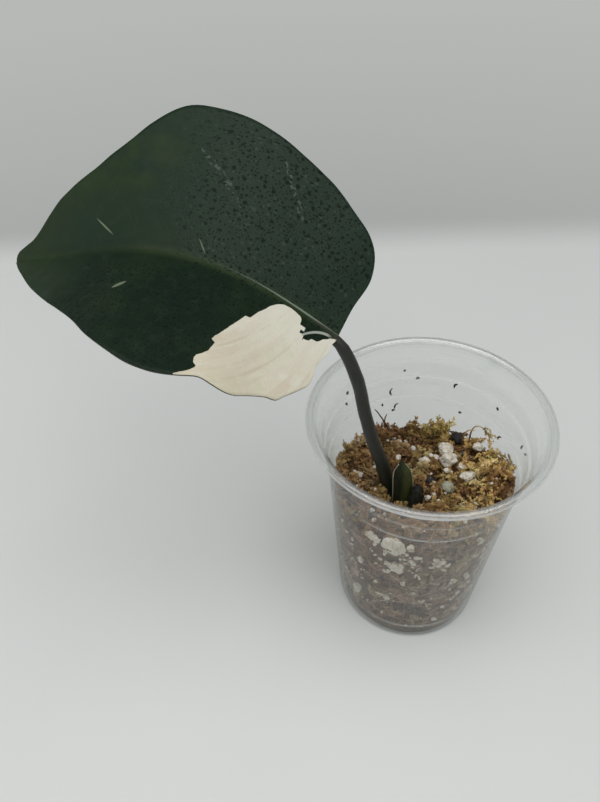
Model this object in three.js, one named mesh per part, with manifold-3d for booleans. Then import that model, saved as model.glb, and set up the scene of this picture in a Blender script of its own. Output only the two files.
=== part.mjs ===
// A rooted one-leaf cutting of a variegated philodendron, standing in a clear plastic cup
// of sphagnum moss and perlite. Millimetres, +Z up. The pieces are laid out round the
// cup's axis, and the whole group is then moved so that the middle of its foot print is
// the origin. -Y faces the viewer, and the leaf hangs out over the rim towards -X.

import * as THREE from 'three';
import { mergeVertices } from 'three/addons/utils/BufferGeometryUtils.js';
import Module from 'manifold-3d';

const wasm = await Module();
wasm.setup();

// The cup is 98 mm across its rolled rim, and 64.6 mm across the ring that it stands on.
const CUP_HEIGHT = 117.4;
const CUP_WALL = 0.7;
const CUP_SEGMENTS = 48;
const FOOT_RADIUS = 32.3;
const FOOT_WIDTH = 1.3;
const BASE_PANEL_RADIUS = 28;
const BASE_PANEL_Z = 5.2;
const WALL_FOOT = [33, 0.7];
const WALL_STEPS = [[39.7, 88.6], [40.4, 90.2], [41.2, 99.0], [42.1, 100.6], [42.9, 107.6], [43.7, 109.2]];
const WALL_TOP = [44.6, 113.4];
const RIM_RADIUS = 49;
const RIM_ROLL = 1.7;

// Clearance between pieces that touch.
const GAP = 0.3;

// The moss fills the cup to about two thirds. Each mound is x, y, height and spread.
const MOSS_BOTTOM = 6.2;
const MOSS_SEGMENTS = 40;
const MOSS_LEVEL = 74.5;
const MOUNDS = [[36, -4, 13, 12], [-30, 4, 3, 9], [0, -33, 7, 13], [2, 36, -5, 12], [14, 12, 1.5, 7]];
const STRANDS = 32;
const TUFTS = 18;

// The stalk of the leaf runs from the moss to the blade: points on its centre line, from
// the foot up, and its radius at each.
const STALK = [
  [-12.8, -2.6, 64], [-14.3, -1.8, 76], [-17.4, -0.2, 89.5], [-21.2, 1.4, 100], [-25.4, 3.6, 116],
  [-28.0, 4.9, 129.5], [-31.0, 6.4, 138.6], [-34.8, 8.4, 146.4],
];
const STALK_RADII = [3.1, 3.1, 2.9, 2.7, 2.65, 2.65, 2.6, 2.4];

// The blade starts at BLADE_BASE and its midrib arches over in one upright plane, turned
// BLADE_TURN degrees from -X towards +Y: distance out from the base, and height over it.
const BLADE_BASE = [-36.6, 9.3, 150];
const BLADE_TURN = 15;
const MIDRIB = [[0, 0], [16.5, 11.4], [34, 21], [53, 26.9], [73, 27.7], [92.5, 24.1], [111.8, 18.7], [125.8, 15.4]];
const MIDRIB_RADII = [2.2, 1.5, 1.1, 0.8, 0.6];
// The two halves are folded up from the midrib, the far one steeply, the near one hardly.
const FAR_FOLD = 44;
const NEAR_FOLD = -5;
const BLADE_THICKNESS = 0.8;
const ROWS = 22;
const COLUMNS = 7;
// Margins of the flattened blade: distance along the midrib and distance from it.
const FAR_MARGIN = [
  [0, 2], [1, 12], [1, 24], [6, 34], [22, 43], [46, 51], [63, 55.2], [74, 52], [88, 39], [104, 28], [116, 19],
  [123, 12], [129, 8.5], [133.6, 5], [134.8, 1.2],
];
const NEAR_MARGIN = [
  [0, 2], [2, 10], [4, 25], [8, 37], [17, 43.5], [27, 51], [36, 49.5], [46, 51.5], [58, 53.5], [70, 50.5],
  [85, 42], [102, 29.5], [118, 18], [129.5, 8.5], [133.6, 3.8], [134.6, 1.2],
];
// A shallow wave runs along both margins.
const WAVE_HEIGHT = 1.2;
const WAVE_LENGTH = 38;

// The cutting's own piece of stem lies in the moss, with the stump of an older leaf stalk
// standing out of it and roots running down from it.
const STEM = [[-15.5, 3.0, 47], [-14.4, 0.6, 54], [-12.2, -4.0, 60], [-8.0, -9.6, 64], [-3.6, -13.4, 71]];
const STEM_RADII = [4.6, 5.2, 5.6, 4.8, 3.4];
const STUMP = [[-4.4, -13.2, 70], [-4.2, -13.0, 79], [-3.8, -12.2, 88.5]];
const STUMP_RADII = [3.2, 2.6, 2.1];
const ROOTS = [
  [[-14, 0, 53], [-4, 8, 45], [8, 14, 38], [14, 18, 24]],
  [[-15, 1, 51], [-20, -6, 42], [-18, -14, 31], [-9, -18, 19]],
  [[-12, -4, 58], [0, -6, 48], [12, -12, 40], [17, -14, 27]],
  [[-15, 2, 50], [-19, 11, 41], [-12, 20, 31], [-3, 22, 18]],
];
const ROOT_RADII = [1.5, 1.2, 0.9];

// The sheath beside the stalk: two pointed flaps round the next bud, with thick margins.
const SHEATH_FOOT = [-9.2, -8.6, 62];
const SHEATH_TIP = [-10.4, -7.2, 97.5];
const SHEATH_WIDTH = 4.6;
const SHEATH_DEPTH = 3.1;

// Perlite grains bigger than about 3 mm: x, y, how far the centre stands over the moss, and
// the half sizes along x, y and z. The first is two puffed grains grown together.
const TOP_GRAINS = [
  [13.3, 14.9, 2.0, 3.1, 3.0, 3.0], [14.4, 8.0, 1.8, 3.3, 2.9, 2.8], [19.4, -2.6, 1.6, 3.0, 2.3, 2.1],
  [11.1, -4.7, 1.2, 2.8, 2.9, 2.5], [16.3, 3.9, 1.2, 1.9, 1.7, 1.6], [3.8, 11.2, 1.0, 2.0, 2.0, 1.9],
  [27.9, 16.3, 1.2, 2.4, 2.0, 2.1], [-6.3, 25.2, 1.0, 1.8, 1.6, 1.7], [0.4, 22.4, 0.9, 1.6, 1.5, 1.5],
  [-24.9, 24.9, 0.9, 1.7, 1.6, 1.6], [-17.8, 9.7, 0.9, 1.6, 1.5, 1.5], [-26.2, 3.2, 1.0, 2.0, 1.6, 1.5],
  [1.1, -11.0, 1.0, 1.8, 1.5, 1.6],
];
// Grains that press against the wall: angle round the cup in degrees, height, half width,
// half height.
const WALL_GRAINS = [
  [-115, 77, 5.2, 4.9], [-112, 61.5, 4.0, 4.4], [-128, 76, 2.8, 3.0], [-85, 69, 2.6, 2.4], [-104, 79, 1.8, 2.2],
  [-145, 22, 2.6, 2.4], [-57, 75, 2.0, 1.8], [-56, 46, 1.8, 2.0], [-116, 32, 2.6, 2.0], [-140, 52, 2.2, 2.4],
  [-20, 58, 2.8, 3.2], [28, 34, 3.4, 2.8], [64, 60, 3.0, 3.4], [102, 26, 3.6, 3.0], [138, 50, 3.2, 3.6],
  [176, 66, 2.6, 2.4],
];
const GRAIN_DEPTH = 3.2;
// Charred bark bits: x, y, half length, direction in degrees.
const BARK_BITS = [[20.9, 25.4, 3.0, 140], [4.5, 0.8, 3.4, -40]];

const MATERIALS = {
  cup: new THREE.MeshStandardMaterial({ color: 0xdfe4e3, roughness: 0.08, metalness: 0 }),
  moss: new THREE.MeshStandardMaterial({ color: 0x9b743c, roughness: 0.95, metalness: 0 }),
  leaf: new THREE.MeshStandardMaterial({ color: 0x2a3b31, roughness: 0.35, metalness: 0 }),
  stem: new THREE.MeshStandardMaterial({ color: 0x2c2d24, roughness: 0.6, metalness: 0 }),
  sheath: new THREE.MeshStandardMaterial({ color: 0x39422a, roughness: 0.45, metalness: 0 }),
  perlite: new THREE.MeshStandardMaterial({ color: 0xe6dfd8, roughness: 0.9, metalness: 0 }),
  bark: new THREE.MeshStandardMaterial({ color: 0x2b2622, roughness: 0.9, metalness: 0 }),
};

const Z_AXIS = new THREE.Vector3(0, 0, 1);
const vector = (p) => new THREE.Vector3(p[0], p[1], p[2]);
const spline = (points) => new THREE.CatmullRomCurve3(points.map(vector), false, 'centripetal');

// Seeded random numbers between 0 and 1.
function seeded(seed) {
  let state = seed;
  return () => {
    state = (state * 1664525 + 1013904223) % 4294967296;
    return state / 4294967296;
  };
}

// Value of an evenly spaced list at t from 0 to 1.
function along(list, t) {
  const place = Math.min(Math.max(t, 0), 1) * (list.length - 1);
  const k = Math.min(Math.floor(place), list.length - 2);
  return THREE.MathUtils.lerp(list[k], list[k + 1], place - k);
}

// A closed geometry as a solid for joining and cutting.
function solid(geometry) {
  const bare = geometry.clone();
  bare.deleteAttribute('normal');
  bare.deleteAttribute('uv');
  const merged = mergeVertices(bare, 1e-4);
  return new wasm.Manifold(new wasm.Mesh({
    numProp: 3,
    vertProperties: new Float32Array(merged.attributes.position.array),
    triVerts: new Uint32Array(merged.index.array),
  }));
}

// A solid back as a geometry. Only its largest body is kept, without sealed hollows.
function shape(body) {
  const largest = body.decompose().reduce((a, b) => (b.volume() > a.volume() ? b : a));
  const { vertProperties, triVerts } = largest.getMesh();
  const geometry = new THREE.BufferGeometry();
  geometry.setAttribute('position', new THREE.BufferAttribute(new Float32Array(vertProperties), 3));
  geometry.setIndex(new THREE.BufferAttribute(new Uint32Array(triVerts), 1));
  geometry.computeVertexNormals();
  return geometry;
}

// A closed tube along a curve. Its radius follows a list, spread evenly over its length, or
// a function of the share of the length. flatten squeezes it sideways.
function tube(curve, radii, sides, steps, grow = 0, flatten = 1) {
  const radiusAt = typeof radii === 'function' ? radii : (t) => along(radii, t);
  const geometry = new THREE.CylinderGeometry(1, 1, 1, sides, steps);
  const frames = curve.computeFrenetFrames(steps, false);
  const position = geometry.attributes.position;
  const point = new THREE.Vector3();
  for (let i = 0; i < position.count; i += 1) {
    const t = position.getY(i) + 0.5;
    const k = Math.round(t * steps);
    const radius = radiusAt(t) + grow;
    point.copy(curve.getPointAt(t));
    point.addScaledVector(frames.normals[k], position.getX(i) * radius);
    point.addScaledVector(frames.binormals[k], -position.getZ(i) * radius * flatten);
    if (t < 0.001) point.addScaledVector(frames.tangents[k], -grow);
    if (t > 0.999) point.addScaledVector(frames.tangents[k], grow);
    position.setXYZ(i, point.x, point.y, point.z);
  }
  return solid(geometry);
}

// A profile of [radius, height] points turned round the Z axis.
function turned(profile, segments) {
  const points = profile.map(([r, z]) => new THREE.Vector2(r, z));
  return new THREE.LatheGeometry(points, segments).rotateX(Math.PI / 2);
}

// ---- cup

// Radius of the cup's inner face at a height.
function innerRadius(z) {
  const line = [WALL_FOOT, ...WALL_STEPS, WALL_TOP];
  const k = Math.min(Math.max(line.findIndex((p) => p[1] > z), 1), line.length - 1);
  const [r0, z0] = line[k - 1];
  const [r1, z1] = line[k];
  return r0 + ((r1 - r0) * (z - z0)) / (z1 - z0) - CUP_WALL;
}

function cup() {
  const rollCentre = [RIM_RADIUS - RIM_ROLL, CUP_HEIGHT - RIM_ROLL];
  const roll = [];
  for (let degrees = -110; degrees <= 160; degrees += 45) {
    const a = THREE.MathUtils.degToRad(degrees);
    roll.push([rollCentre[0] + RIM_ROLL * Math.cos(a), rollCentre[1] + RIM_ROLL * Math.sin(a)]);
  }
  const inside = [...WALL_STEPS, WALL_TOP].map(([r, z]) => [r - CUP_WALL, z - 0.1]).reverse();
  const panelTop = BASE_PANEL_Z + CUP_WALL;
  return turned([
    [0, BASE_PANEL_Z],
    [BASE_PANEL_RADIUS, BASE_PANEL_Z],
    [FOOT_RADIUS - FOOT_WIDTH - 0.6, 0.5],
    [FOOT_RADIUS - FOOT_WIDTH, 0],
    [FOOT_RADIUS, 0],
    WALL_FOOT,
    ...WALL_STEPS,
    WALL_TOP,
    ...roll,
    [WALL_TOP[0] + 0.2, CUP_HEIGHT - RIM_ROLL],
    ...inside,
    [WALL_FOOT[0] - CUP_WALL, 1.6],
    [FOOT_RADIUS - 0.6, 0.8],
    [FOOT_RADIUS - FOOT_WIDTH + 0.2, 0.8],
    [BASE_PANEL_RADIUS + 0.5, panelTop],
    [0, panelTop],
  ], CUP_SEGMENTS);
}

// ---- leaf

const midrib = new THREE.CatmullRomCurve3(
  MIDRIB.map(([out, up]) => new THREE.Vector3(out, up, 0)), false, 'centripetal');
const midribLength = midrib.getLength();
const turn = THREE.MathUtils.degToRad(BLADE_TURN);
const outward = new THREE.Vector3(-Math.cos(turn), Math.sin(turn), 0);
const across = new THREE.Vector3(Math.sin(turn), Math.cos(turn), 0);

// Place on the blade: u along the midrib, v across it, positive on the far half.
function bladePoint(u, v) {
  const t = THREE.MathUtils.clamp(u / midribLength, 0, 1);
  const flat = midrib.getPointAt(t);
  const slope = midrib.getTangentAt(t);
  const tangent = outward.clone().multiplyScalar(slope.x).addScaledVector(Z_AXIS, slope.y);
  const up = outward.clone().multiplyScalar(-slope.y).addScaledVector(Z_AXIS, slope.x);
  const fold = THREE.MathUtils.degToRad(v > 0 ? FAR_FOLD : NEAR_FOLD);
  const rim = Math.min(Math.abs(v) / 50, 1) ** 2;
  const wave = WAVE_HEIGHT * rim * Math.sin((2 * Math.PI * u) / WAVE_LENGTH + (v > 0 ? 0 : 2));
  return vector(BLADE_BASE)
    .addScaledVector(outward, flat.x)
    .addScaledVector(Z_AXIS, flat.y)
    .addScaledVector(tangent, u - t * midribLength)
    .addScaledVector(across, v * Math.cos(fold))
    .addScaledVector(up, Math.abs(v) * Math.sin(fold) + wave);
}

// Rows run from the base to the tip, columns from the near margin to the far one. Top and
// under side use the same split of each cell, so they never cross.
function blade() {
  const margin = (points) => new THREE.CatmullRomCurve3(
    points.map(([u, v]) => new THREE.Vector3(u, v, 0)), false, 'centripetal');
  const far = margin(FAR_MARGIN);
  const near = margin(NEAR_MARGIN);
  const place = (i, j) => {
    const s = i / ROWS;
    const edge = (j > 0 ? far : near).getPointAt(s);
    const k = Math.abs(j) / COLUMNS;
    const ease = s ** 1.15;
    return [
      THREE.MathUtils.lerp(ease * midribLength, edge.x, k),
      edge.y * k * Math.sign(j),
    ];
  };
  const width = 2 * COLUMNS + 1;
  const positions = [];
  for (const side of [0.5, -0.5]) {
    for (let i = 0; i <= ROWS; i += 1) {
      for (let j = -COLUMNS; j <= COLUMNS; j += 1) {
        const [u, v] = place(i, j);
        const step = 0.5;
        const du = bladePoint(u + step, v).sub(bladePoint(u - step, v));
        const dv = bladePoint(u, v + step).sub(bladePoint(u, v - step));
        const normal = du.cross(dv).normalize();
        if (normal.z < 0) normal.negate();
        const point = bladePoint(u, v).addScaledVector(normal, side * BLADE_THICKNESS);
        positions.push(point.x, point.y, point.z);
      }
    }
  }
  const count = (ROWS + 1) * width;
  const index = [];
  for (let i = 0; i < ROWS; i += 1) {
    for (let j = 0; j < 2 * COLUMNS; j += 1) {
      const a = i * width + j;
      const b = a + 1;
      const c = a + width;
      const d = c + 1;
      index.push(a, b, c, b, d, c);
      index.push(a + count, c + count, b + count, b + count, c + count, d + count);
    }
  }
  const border = [];
  for (let j = 0; j < 2 * COLUMNS; j += 1) border.push(j);
  for (let i = 0; i < ROWS; i += 1) border.push(i * width + 2 * COLUMNS);
  for (let j = 2 * COLUMNS; j > 0; j -= 1) border.push(ROWS * width + j);
  for (let i = ROWS; i > 0; i -= 1) border.push(i * width);
  border.forEach((a, k) => {
    const b = border[(k + 1) % border.length];
    index.push(a, a + count, b, b, a + count, b + count);
  });
  const geometry = new THREE.BufferGeometry();
  geometry.setAttribute('position', new THREE.BufferAttribute(new Float32Array(positions), 3));
  geometry.setIndex(index);
  return solid(geometry);
}

// Stalk and midrib are one tapering rib. Past the blade's base it runs along the under side.
function rib(grow = 0) {
  const under = new THREE.Vector3(0, 0, -1).addScaledVector(across, Math.sin((FAR_FOLD + NEAR_FOLD) / 90)).normalize();
  const points = STALK.map(vector);
  for (const t of [0.02, 0.1, 0.24, 0.4, 0.55, 0.7, 0.85, 0.98]) {
    const sink = along(MIDRIB_RADII, t) * (t < 0.05 ? 0.9 : 1.05);
    points.push(bladePoint(t * midribLength, 0).addScaledVector(under, sink));
  }
  const curve = new THREE.CatmullRomCurve3(points, false, 'centripetal');
  const share = 1 - midribLength / curve.getLength();
  const radiusAt = (t) => (t < share
    ? along(STALK_RADII, t / share)
    : along(MIDRIB_RADII, (t - share) / (1 - share)));
  return tube(curve, radiusAt, 8, 36, grow);
}

function leaf(grow = 0) {
  return grow > 0 ? rib(grow) : blade().add(rib());
}

// ---- stem, roots and sheath

function stem(grow = 0) {
  let body = tube(spline(STEM), STEM_RADII, 10, 7, grow).add(tube(spline(STUMP), STUMP_RADII, 8, 4, grow));
  for (const root of ROOTS) body = body.add(tube(spline(root), ROOT_RADII, 6, 6, grow));
  return body;
}

function sheath(grow = 0) {
  const foot = vector(SHEATH_FOOT);
  const tip = vector(SHEATH_TIP);
  const middle = foot.clone().lerp(tip, 0.55).add(new THREE.Vector3(0.8, -0.9, 0));
  const axis = new THREE.CatmullRomCurve3([foot, middle, tip], false, 'centripetal');
  const swell = [0.86, 0.96, 1, 0.9, 0.62, 0.14];
  return tube(axis, swell.map((k) => k * SHEATH_WIDTH), 12, 9, grow, SHEATH_DEPTH / SHEATH_WIDTH);
}

// ---- perlite and bark

// A puffed grain: a ball with seeded dents, pulled to its half sizes. Small ones have fewer faces.
function grain(seed, place, size, grow = 0) {
  const large = Math.min(...size) > 2.2;
  const geometry = large ? new THREE.IcosahedronGeometry(1, 1) : new THREE.OctahedronGeometry(1, 1);
  const draw = seeded(seed);
  const phases = [draw(), draw(), draw(), draw()].map((d) => d * Math.PI * 2);
  const position = geometry.attributes.position;
  const point = new THREE.Vector3();
  for (let i = 0; i < position.count; i += 1) {
    point.fromBufferAttribute(position, i);
    const dents = Math.sin(3.1 * point.x + phases[0]) * Math.sin(2.7 * point.y + phases[1])
      + Math.sin(3.7 * point.z + phases[2]) * Math.sin(2.3 * point.x + phases[3]);
    const reach = 1 + 0.13 * dents;
    position.setXYZ(
      i,
      place[0] + point.x * (size[0] * reach + grow),
      place[1] + point.y * (size[1] * reach + grow),
      place[2] + point.z * (size[2] * reach + grow),
    );
  }
  return solid(geometry);
}

function topGrain(k, grow = 0) {
  const [x, y, over, a, b, c] = TOP_GRAINS[k];
  return grain(101 + k, [x, y, mossHeight(x, y) + over], [a, b, c], grow);
}

// The grain's flat outer side follows the wall, because the fill's own envelope cuts it.
function wallGrain(k, grow = 0) {
  const [degrees, z, wide, high] = WALL_GRAINS[k];
  const a = THREE.MathUtils.degToRad(degrees);
  const r = innerRadius(z) - GAP - 0.35 * GRAIN_DEPTH;
  const body = grain(301 + k, [0, 0, 0], [GRAIN_DEPTH, wide, high], grow);
  return body.rotate([0, 0, degrees]).translate([r * Math.cos(a), r * Math.sin(a), z]);
}

function barkBit(k, grow = 0) {
  const [x, y, half, degrees] = BARK_BITS[k];
  const a = THREE.MathUtils.degToRad(degrees);
  const z = mossHeight(x, y) + 0.3;
  const reach = [half * Math.cos(a), half * Math.sin(a)];
  const line = spline([
    [x - reach[0], y - reach[1], z - 0.9],
    [x + 0.3, y - 0.2, z + 0.4],
    [x + reach[0], y + reach[1], z + 0.2],
  ]);
  return tube(line, [0.9, 1.7, 1.5, 0.7], 6, 4, grow, 0.6);
}

// ---- moss

// Height of the moss at a place, with its mounds and lumps.
function mossHeight(x, y) {
  let z = MOSS_LEVEL;
  for (const [mx, my, high, spread] of MOUNDS) {
    z += high * Math.exp(-((x - mx) ** 2 + (y - my) ** 2) / (2 * spread ** 2));
  }
  z += 1.3 * Math.sin(0.52 * x + 1.3) * Math.cos(0.47 * y - 0.4);
  z += 0.7 * Math.sin(0.93 * x - 0.71 * y);
  return z;
}

// The fill inside the cup: its side follows the wall and its top is lumpy.
function fill() {
  const sideSteps = [0.06, 0.2, 0.4, 0.6, 0.8, 0.94];
  const topSteps = [1, 0.93, 0.84, 0.73, 0.6, 0.46, 0.31, 0.16, 0];
  const profile = [[0, 0], [0.45, 0], [0.84, 0]];
  sideSteps.forEach((t) => profile.push([1, t]));
  topSteps.forEach((k) => profile.push([k, 1]));
  const geometry = turned(profile, MOSS_SEGMENTS);
  const position = geometry.attributes.position;
  const point = new THREE.Vector3();
  for (let i = 0; i < position.count; i += 1) {
    point.fromBufferAttribute(position, i);
    const k = Math.hypot(point.x, point.y);
    const a = Math.atan2(point.y, point.x);
    const edge = mossHeight(38 * Math.cos(a), 38 * Math.sin(a));
    const level = THREE.MathUtils.lerp(MOSS_BOTTOM, edge, point.z);
    const dimple = 0.45 + 0.35 * Math.sin(7 * a + 0.11 * level) * Math.sin(0.13 * level - 3 * a);
    const r = k * (innerRadius(Math.min(level, 84)) - GAP - (point.z > 0 ? dimple : 0));
    const x = r * Math.cos(a);
    const y = r * Math.sin(a);
    position.setXYZ(i, x, y, point.z > 0.99 ? mossHeight(x, y) - (k > 0.9 ? 1.2 : 0) : level);
  }
  return solid(geometry);
}

// Everything in the fill stays inside this envelope, a hand's clearance off the wall.
function envelope() {
  const profile = [[0, MOSS_BOTTOM - 1]];
  for (const z of [MOSS_BOTTOM - 1, 40, 88.4, 90.4, 99, 101, 107]) profile.push([innerRadius(z) - GAP, z]);
  profile.push([0, 107]);
  return solid(turned(profile, MOSS_SEGMENTS));
}

// One strand of moss: a bent tapering tube with four sides.
function strand(points, radius) {
  return tube(spline(points), [radius * 0.8, radius, radius * 0.85, radius * 0.4], 4, 3);
}

function moss() {
  const draw = seeded(2027);
  const strands = [];
  for (let n = 0; n < STRANDS; n += 1) {
    const a = draw() * Math.PI * 2;
    const r = 35 * Math.sqrt(draw());
    const x = r * Math.cos(a);
    const y = r * Math.sin(a);
    const way = draw() * Math.PI * 2;
    const length = 5 + 6 * draw();
    const [cx, cy] = [Math.cos(way) * length, Math.sin(way) * length];
    const arch = 1.2 + 1.8 * draw();
    const sway = 3 * (draw() - 0.5);
    const at = (k, lift) => {
      const px = x + cx * k - sway * Math.sin(way) * (1 - k * k);
      const py = y + cy * k + sway * Math.cos(way) * (1 - k * k);
      const inside = Math.min(1, 36 / Math.hypot(px, py));
      return [px * inside, py * inside, mossHeight(px * inside, py * inside) + lift];
    };
    strands.push(strand([at(-1, -2), at(-0.4, arch * 0.6), at(0.3, arch), at(1, -2)], 1.1 + 0.6 * draw()));
  }
  for (let n = 0; n < TUFTS; n += 1) {
    const a = draw() * Math.PI * 2;
    const r = 20 + 14 * draw();
    const x = r * Math.cos(a);
    const y = r * Math.sin(a);
    const z = mossHeight(x, y);
    const tall = 4 + 5 * draw();
    const lean = [5 * (draw() - 0.5) - x * 0.06, 5 * (draw() - 0.5) - y * 0.06];
    strands.push(strand([
      [x, y, z - 3],
      [x + lean[0] * 0.3, y + lean[1] * 0.3, z + tall * 0.35],
      [x + lean[0] * 0.8, y + lean[1] * 0.8, z + tall * 0.8],
      [x + lean[0] * 1.5, y + lean[1] * 1.2, z + tall],
    ], 1.0 + 0.7 * draw()));
  }
  let body = fill();
  for (const piece of strands) body = body.add(piece);
  body = body.intersect(envelope());
  for (const piece of [leaf(GAP), stem(GAP), sheath(GAP)]) body = body.subtract(piece);
  TOP_GRAINS.forEach((_, k) => { body = body.subtract(topGrain(k, GAP)); });
  WALL_GRAINS.forEach((_, k) => { body = body.subtract(wallGrain(k, GAP)); });
  BARK_BITS.forEach((_, k) => { body = body.subtract(barkBit(k, GAP)); });
  return body;
}

// ---- the whole plant

const group = new THREE.Group();
const plant = new THREE.Group();
group.add(plant);

function addPiece(name, geometry, material) {
  const mesh = new THREE.Mesh(geometry, MATERIALS[material]);
  mesh.name = name;
  plant.add(mesh);
}

addPiece('cup', shape(solid(cup())), 'cup');
addPiece('moss', shape(moss()), 'moss');
addPiece('leaf', shape(leaf()), 'leaf');
addPiece('stem', shape(stem().subtract(leaf(GAP)).subtract(sheath(GAP))), 'stem');
addPiece('sheath', shape(sheath().subtract(leaf(GAP))), 'sheath');
TOP_GRAINS.forEach((_, k) => {
  let body = topGrain(k);
  for (let j = 0; j < k; j += 1) body = body.subtract(topGrain(j, GAP));
  addPiece(`perlite_top_${k + 1}`, shape(body), 'perlite');
});
WALL_GRAINS.forEach((_, k) => {
  let body = wallGrain(k).intersect(envelope());
  for (let j = 0; j < k; j += 1) body = body.subtract(wallGrain(j, GAP));
  addPiece(`perlite_wall_${k + 1}`, shape(body), 'perlite');
});
BARK_BITS.forEach((_, k) => addPiece(`bark_${k + 1}`, shape(barkBit(k)), 'bark'));

// The origin is the middle of the foot print of the whole plant, on the floor.
const box = new THREE.Box3().setFromObject(plant, true);
const centre = box.getCenter(new THREE.Vector3());
plant.position.set(-centre.x, -centre.y, -box.min.z);

export default group;
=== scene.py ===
"""Looks of the potted philodendron cutting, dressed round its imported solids."""
import math
import random

import bmesh
import bpy
from mathutils import Matrix, Vector, noise


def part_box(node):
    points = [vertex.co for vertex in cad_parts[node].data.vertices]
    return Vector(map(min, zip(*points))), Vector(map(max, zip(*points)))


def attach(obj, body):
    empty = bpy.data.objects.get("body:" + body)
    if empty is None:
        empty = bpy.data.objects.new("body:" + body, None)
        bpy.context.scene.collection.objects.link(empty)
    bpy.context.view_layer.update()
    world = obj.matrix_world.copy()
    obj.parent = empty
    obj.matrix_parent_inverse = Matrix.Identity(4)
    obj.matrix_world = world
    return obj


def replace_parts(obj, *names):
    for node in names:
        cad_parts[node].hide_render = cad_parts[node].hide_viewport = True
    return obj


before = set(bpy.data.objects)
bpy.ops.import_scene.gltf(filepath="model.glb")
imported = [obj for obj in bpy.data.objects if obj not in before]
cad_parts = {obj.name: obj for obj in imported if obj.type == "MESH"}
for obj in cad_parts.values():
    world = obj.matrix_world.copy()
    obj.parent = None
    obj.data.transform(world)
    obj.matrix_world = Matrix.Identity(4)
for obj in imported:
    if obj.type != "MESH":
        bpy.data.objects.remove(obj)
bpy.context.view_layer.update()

# Sizes below are in millimetres from the cup's axis on the floor, as in the part's source.
MM = 0.001
low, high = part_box("cup")
AXIS = Vector(((low[0] + high[0]) / 2, (low[1] + high[1]) / 2, 0))
PLACE = Matrix.Translation(AXIS) @ Matrix.Scale(MM, 4)

# ---- shared shapes


class Line:
    """A smooth line through points, read by the share of its length."""

    def __init__(self, points, steps=24):
        p = [Vector(q).to_3d() for q in points]
        p = [2 * p[0] - p[1]] + p + [2 * p[-1] - p[-2]]
        self.points = []
        for k in range(1, len(p) - 2):
            d0, d1, d2 = [(p[k + i] - p[k + i - 1]).length ** 0.5 for i in range(3)]
            m1 = ((p[k] - p[k - 1]) / d0 - (p[k + 1] - p[k - 1]) / (d0 + d1) + (p[k + 1] - p[k]) / d1) * d1
            m2 = ((p[k + 1] - p[k]) / d1 - (p[k + 2] - p[k]) / (d1 + d2) + (p[k + 2] - p[k + 1]) / d2) * d1
            for i in range(steps + (k == len(p) - 3)):
                t = i / steps
                self.points.append(
                    (2 * t**3 - 3 * t**2 + 1) * p[k] + (t**3 - 2 * t**2 + t) * m1
                    + (3 * t**2 - 2 * t**3) * p[k + 1] + (t**3 - t**2) * m2)
        self.reach = [0.0]
        for a, b in zip(self.points, self.points[1:]):
            self.reach.append(self.reach[-1] + (b - a).length)
        self.length = self.reach[-1]

    def at(self, share):
        goal = min(max(share, 0), 1) * self.length
        low, high = 0, len(self.reach) - 1
        while high - low > 1:
            middle = (low + high) // 2
            if self.reach[middle] <= goal:
                low = middle
            else:
                high = middle
        span = self.reach[high] - self.reach[low]
        return self.points[low].lerp(self.points[high], (goal - self.reach[low]) / span if span else 0)

    def way(self, share):
        return (self.at(share + 0.004) - self.at(share - 0.004)).normalized()


def along(values, t):
    """Value of an evenly spaced list at t from 0 to 1."""
    place = min(max(t, 0), 1) * (len(values) - 1)
    k = min(int(place), len(values) - 2)
    return values[k] + (values[k + 1] - values[k]) * (place - k)


def seeded(seed):
    """The same seeded draws as the part's source makes."""
    state = seed
    while True:
        state = (state * 1664525 + 1013904223) % 4294967296
        yield state / 4294967296


def placed(name, bm, materials, smooth=False):
    """Puts a shape made in metres into the scene."""
    mesh = bpy.data.meshes.new(name)
    bm.to_mesh(mesh)
    bm.free()
    for f in mesh.polygons:
        f.use_smooth = smooth
    for m in materials:
        mesh.materials.append(m)
    piece = bpy.data.objects.new(name, mesh)
    bpy.context.scene.collection.objects.link(piece)
    return piece


def finished(name, bm, materials, smooth=True):
    """Puts a shape made in millimetres into the scene as a piece of the plant."""
    bmesh.ops.transform(bm, matrix=PLACE, verts=bm.verts)
    piece = placed(name, bm, materials, smooth)
    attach(piece, "root")
    return piece


def face_out(bm):
    bmesh.ops.recalc_face_normals(bm, faces=bm.faces)


def polar(r, a):
    return r * math.cos(a), r * math.sin(a)


def tube(bm, line, radii, sides=12, steps=24, squash=1.0, wobble=0.0, seed=0, wide=None):
    """A closed tube along a line, its ring carried along without twisting."""
    radius_at = radii if callable(radii) else (lambda t: along(radii, t))
    side = Vector(wide) if wide else line.way(0).orthogonal().normalized()
    frames = []
    for k in range(steps + 1):
        way = line.way(k / steps)
        side = (side - way * side.dot(way)).normalized()
        frames.append((line.at(k / steps), side, way.cross(side)))
    earlier = len(bm.verts)
    verts = bmesh.ops.create_cone(bm, cap_ends=True, segments=sides, radius1=1, radius2=1, depth=1)["verts"]
    upright = [e for e in {e for v in verts for e in v.link_edges} if abs(e.verts[0].co.z - e.verts[1].co.z) > 0.5]
    bmesh.ops.subdivide_edges(bm, edges=upright, cuts=steps - 1, use_grid_fill=True)
    bm.verts.ensure_lookup_table()
    for v in bm.verts[earlier:]:
        t = v.co.z + 0.5
        centre, side, up = frames[round(t * steps)]
        x, y, r = v.co.x, v.co.y, radius_at(t)
        if wobble:
            r *= 1 + wobble * noise.noise(Vector((2 * x + seed, 2 * y, t * line.length * 0.25)))
        v.co = centre + side * (x * r) + up * (y * r * squash)


# ---- materials


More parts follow.
